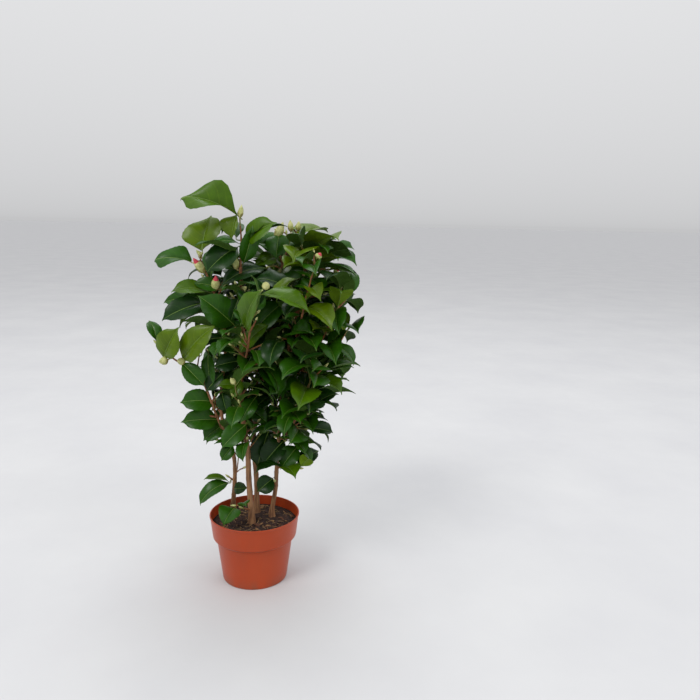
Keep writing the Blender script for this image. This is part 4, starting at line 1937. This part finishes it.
def draw_stalk(basket, leaf):
    """A short stalk that runs on under the blade and ends within the midrib."""
    start = math.cos(leaf["droop"] / 2) * leaf["aim"] + math.sin(leaf["droop"] / 2) * leaf["upper"]
    below = math.cos(leaf["droop"] / 2) * leaf["upper"] - math.sin(leaf["droop"] / 2) * leaf["aim"]
    root, base = leaf["root"], leaf["base"]
    corners = [root, base - start * 4.5 - below * 0.3, base - below * 0.55, base + start * 6 - below * 0.7]
    thick = min(1.0, leaf["length"] / FULL_STALK_LENGTH)
    stalk = smooth_path(corners, STALK_STEP)
    thread(basket, stalk, np.linspace(*STALK_RADII, len(stalk)) * thick, STALK_SIDES, STALK_PAINT)


# %% The leaves of each stem
LEAF_PIECES = {
    "leaves_of_main_stem": ("leaves_main",),
    "leaves_of_rear_stem": ("leaves_rear_tip", "leaves_rear_1", "leaves_rear_2", "leaves_rear_5"),
    "leaves_of_upper_rear_boughs": ("leaves_rear_3", "leaves_rear_4"),
    "leaves_of_right_stem": (
        "leaves_right_tip", "leaves_right_foot", "leaves_right_low", "leaves_right_1", "leaves_right_2",
    ),
    "leaves_of_upper_right_boughs": ("leaves_right_3", "leaves_right_4"),
    "leaves_of_left_stem": ("leaves_left",),
}
for name, starts in LEAF_PIECES.items():
    basket = Basket()
    own = [spray for spray in sprays if spray["name"].startswith(starts)]
    for spray in own:
        for leaf in spray["leaves"]:
            draw_blade(basket, leaf, leaf_age(spray, leaf))
            draw_stalk(basket, leaf)
    piece = basket.to_object(name, UPPER + UNDER + [MIDRIB, STALK])
    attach(piece, "root")
    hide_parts(*[spray["name"] for spray in own])

# %% [markdown]
# ## Buds
# A flower bud is an egg wrapped in overlapping scales, like tiles on a roof. The scales could
# be painted on, but their edges catch the light, so each is a small curved shell round a core.

# %% The core of a bud
SCALE_PAINT, OUTER_PAINT, PETAL_PAINT = range(3)
CORE_SHARES = (0.0, 0.03, 0.1, 0.2, 0.32, 0.45, 0.58, 0.7, 0.8, 0.88, 0.94, 0.98, 1.0)
PETALS_FROM = 6


def egg(share):
    """How wide an egg is, at a share of its length."""
    return math.sin(math.pi * min(1.0, max(0.0, share)) ** 0.8) ** 0.72 * (1 - 0.2 * share ** 4)


def draw_core(basket, bud, petal, round_steps):
    """The egg under the scales, red toward its tip if a petal shows."""
    aim, side = bud["aim"], some_side(bud["aim"])
    other = cross(aim, side)
    rings = []
    for share in CORE_SHARES:
        out = bud["radius"] * max(egg(share), 0.12 if share < 0.5 else 0.02)
        middle = bud["root"] + aim * (bud["length"] * share)
        for k in range(round_steps):
            angle = 2 * math.pi * k / round_steps
            rings.append(middle + (side * math.cos(angle) + other * math.sin(angle)) * out)
    faces = ring_faces(len(CORE_SHARES), round_steps)
    tip_paint = PETAL_PAINT if petal else SCALE_PAINT
    paints = [tip_paint if i // round_steps > PETALS_FROM else SCALE_PAINT for i in range(len(faces))]
    basket.add(rings, faces, paints)


print("a core has", len(CORE_SHARES), "rings")

# %% Its scales
BUD_TURN = 137.5
OUTER_FROM = 0.7


def draw_scales(basket, bud, scales, petal, rows):
    """Small curved shells round a bud; the last ones are the outermost and the shortest."""
    root, aim, length, radius = bud["root"], bud["aim"], bud["length"], bud["radius"]
    side = some_side(aim)
    other = cross(aim, side)
    for j in range(scales):
        age = j / max(1, scales - 1)
        top = (0.84 if petal else 0.985) - 0.6 * age ** 0.9
        middle = math.radians(BUD_TURN * j)
        spread = math.radians(74 - 14 * age)
        points = []
        for row in range(rows):
            v = row / (rows - 1)
            share = 0.01 + (top - 0.01) * v
            out = radius * max(egg(share), 0.14) + radius * (0.03 + 0.035 * j / scales * 2) + 0.22 * v ** 3
            for column in range(rows + 1):
                u = column / rows * 2 - 1
                angle = middle + u * spread * math.sqrt(max(0.0, 1 - v ** 3.2))
                lift = radius * 0.05 * (1 - u * u)
                points.append(root + aim * (length * share - 0.25 * v * v)
                              + (side * math.cos(angle) + other * math.sin(angle)) * (out + lift))
        wide = rows + 1
        faces = [
            (row + c, row + c + 1, row + wide + c + 1, row + wide + c)
            for row in range(0, (rows - 1) * wide, wide) for c in range(rows)
        ]
        basket.add(points, faces, OUTER_PAINT if age > OUTER_FROM else SCALE_PAINT)


# %% All the buds
PETAL_SHARE, GROWTH_SCALES = 0.2, 4


def draw_bud(basket, bud, scales=9, petal=False, round_steps=12, scale_steps=8):
    draw_core(basket, bud, petal, round_steps)
    draw_scales(basket, bud, scales, petal, scale_steps)


basket = Basket()
roll = dice(501)
for spray in sprays:
    for bud in spray["buds"]:
        draw_bud(basket, bud, petal=bud.get("petal", roll() < PETAL_SHARE))
        if "neck" in bud:
            middle = (bud["neck"] + bud["root"]) / 2 - bud["aim"]
            thread(basket, [bud["neck"], middle, bud["root"] + bud["aim"]], [1.5, 1.3, 1.4], 7, OUTER_PAINT)
    for twig in spray["twigs"]:
        before, last = twig["points"][-2:]
        way = unit(last - before)
        long = 7 + 6 * roll()
        growth_bud = dict(root=last - way, aim=way, length=long, radius=1.55 + 0.05 * long)
        draw_bud(basket, growth_bud, GROWTH_SCALES, round_steps=7, scale_steps=4)
buds = basket.to_object("buds", [SCALE, SCALE_OUTER, PETAL])
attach(buds, "root")
print(sum(len(spray["buds"]) for spray in sprays), "flower buds")

# %% [markdown]
# ## The floor
# A wide pale disc stands for the studio floor. It is so wide that its edge melts into the
# sky, and faint mottling keeps it from looking like paper.

# %% Floor
FLOOR_RADII = (1.0, 600.0, 3000.0, 15000.0, 150000.0)
FLOOR_SIDES = 96
FLOOR_FINISH = plain_finish("studio_floor", (203, 203, 204), (197, 197, 199), 0.8, 3.0, depth=0.0001)
rings = [compass(360 * i / FLOOR_SIDES) * radius for radius in FLOOR_RADII for i in range(FLOOR_SIDES)]
faces = ring_faces(len(FLOOR_RADII), FLOOR_SIDES) + [tuple(range(FLOOR_SIDES))]
basket = Basket()
basket.add(rings, faces)
ground = basket.to_object("studio_floor", [FLOOR_FINISH])
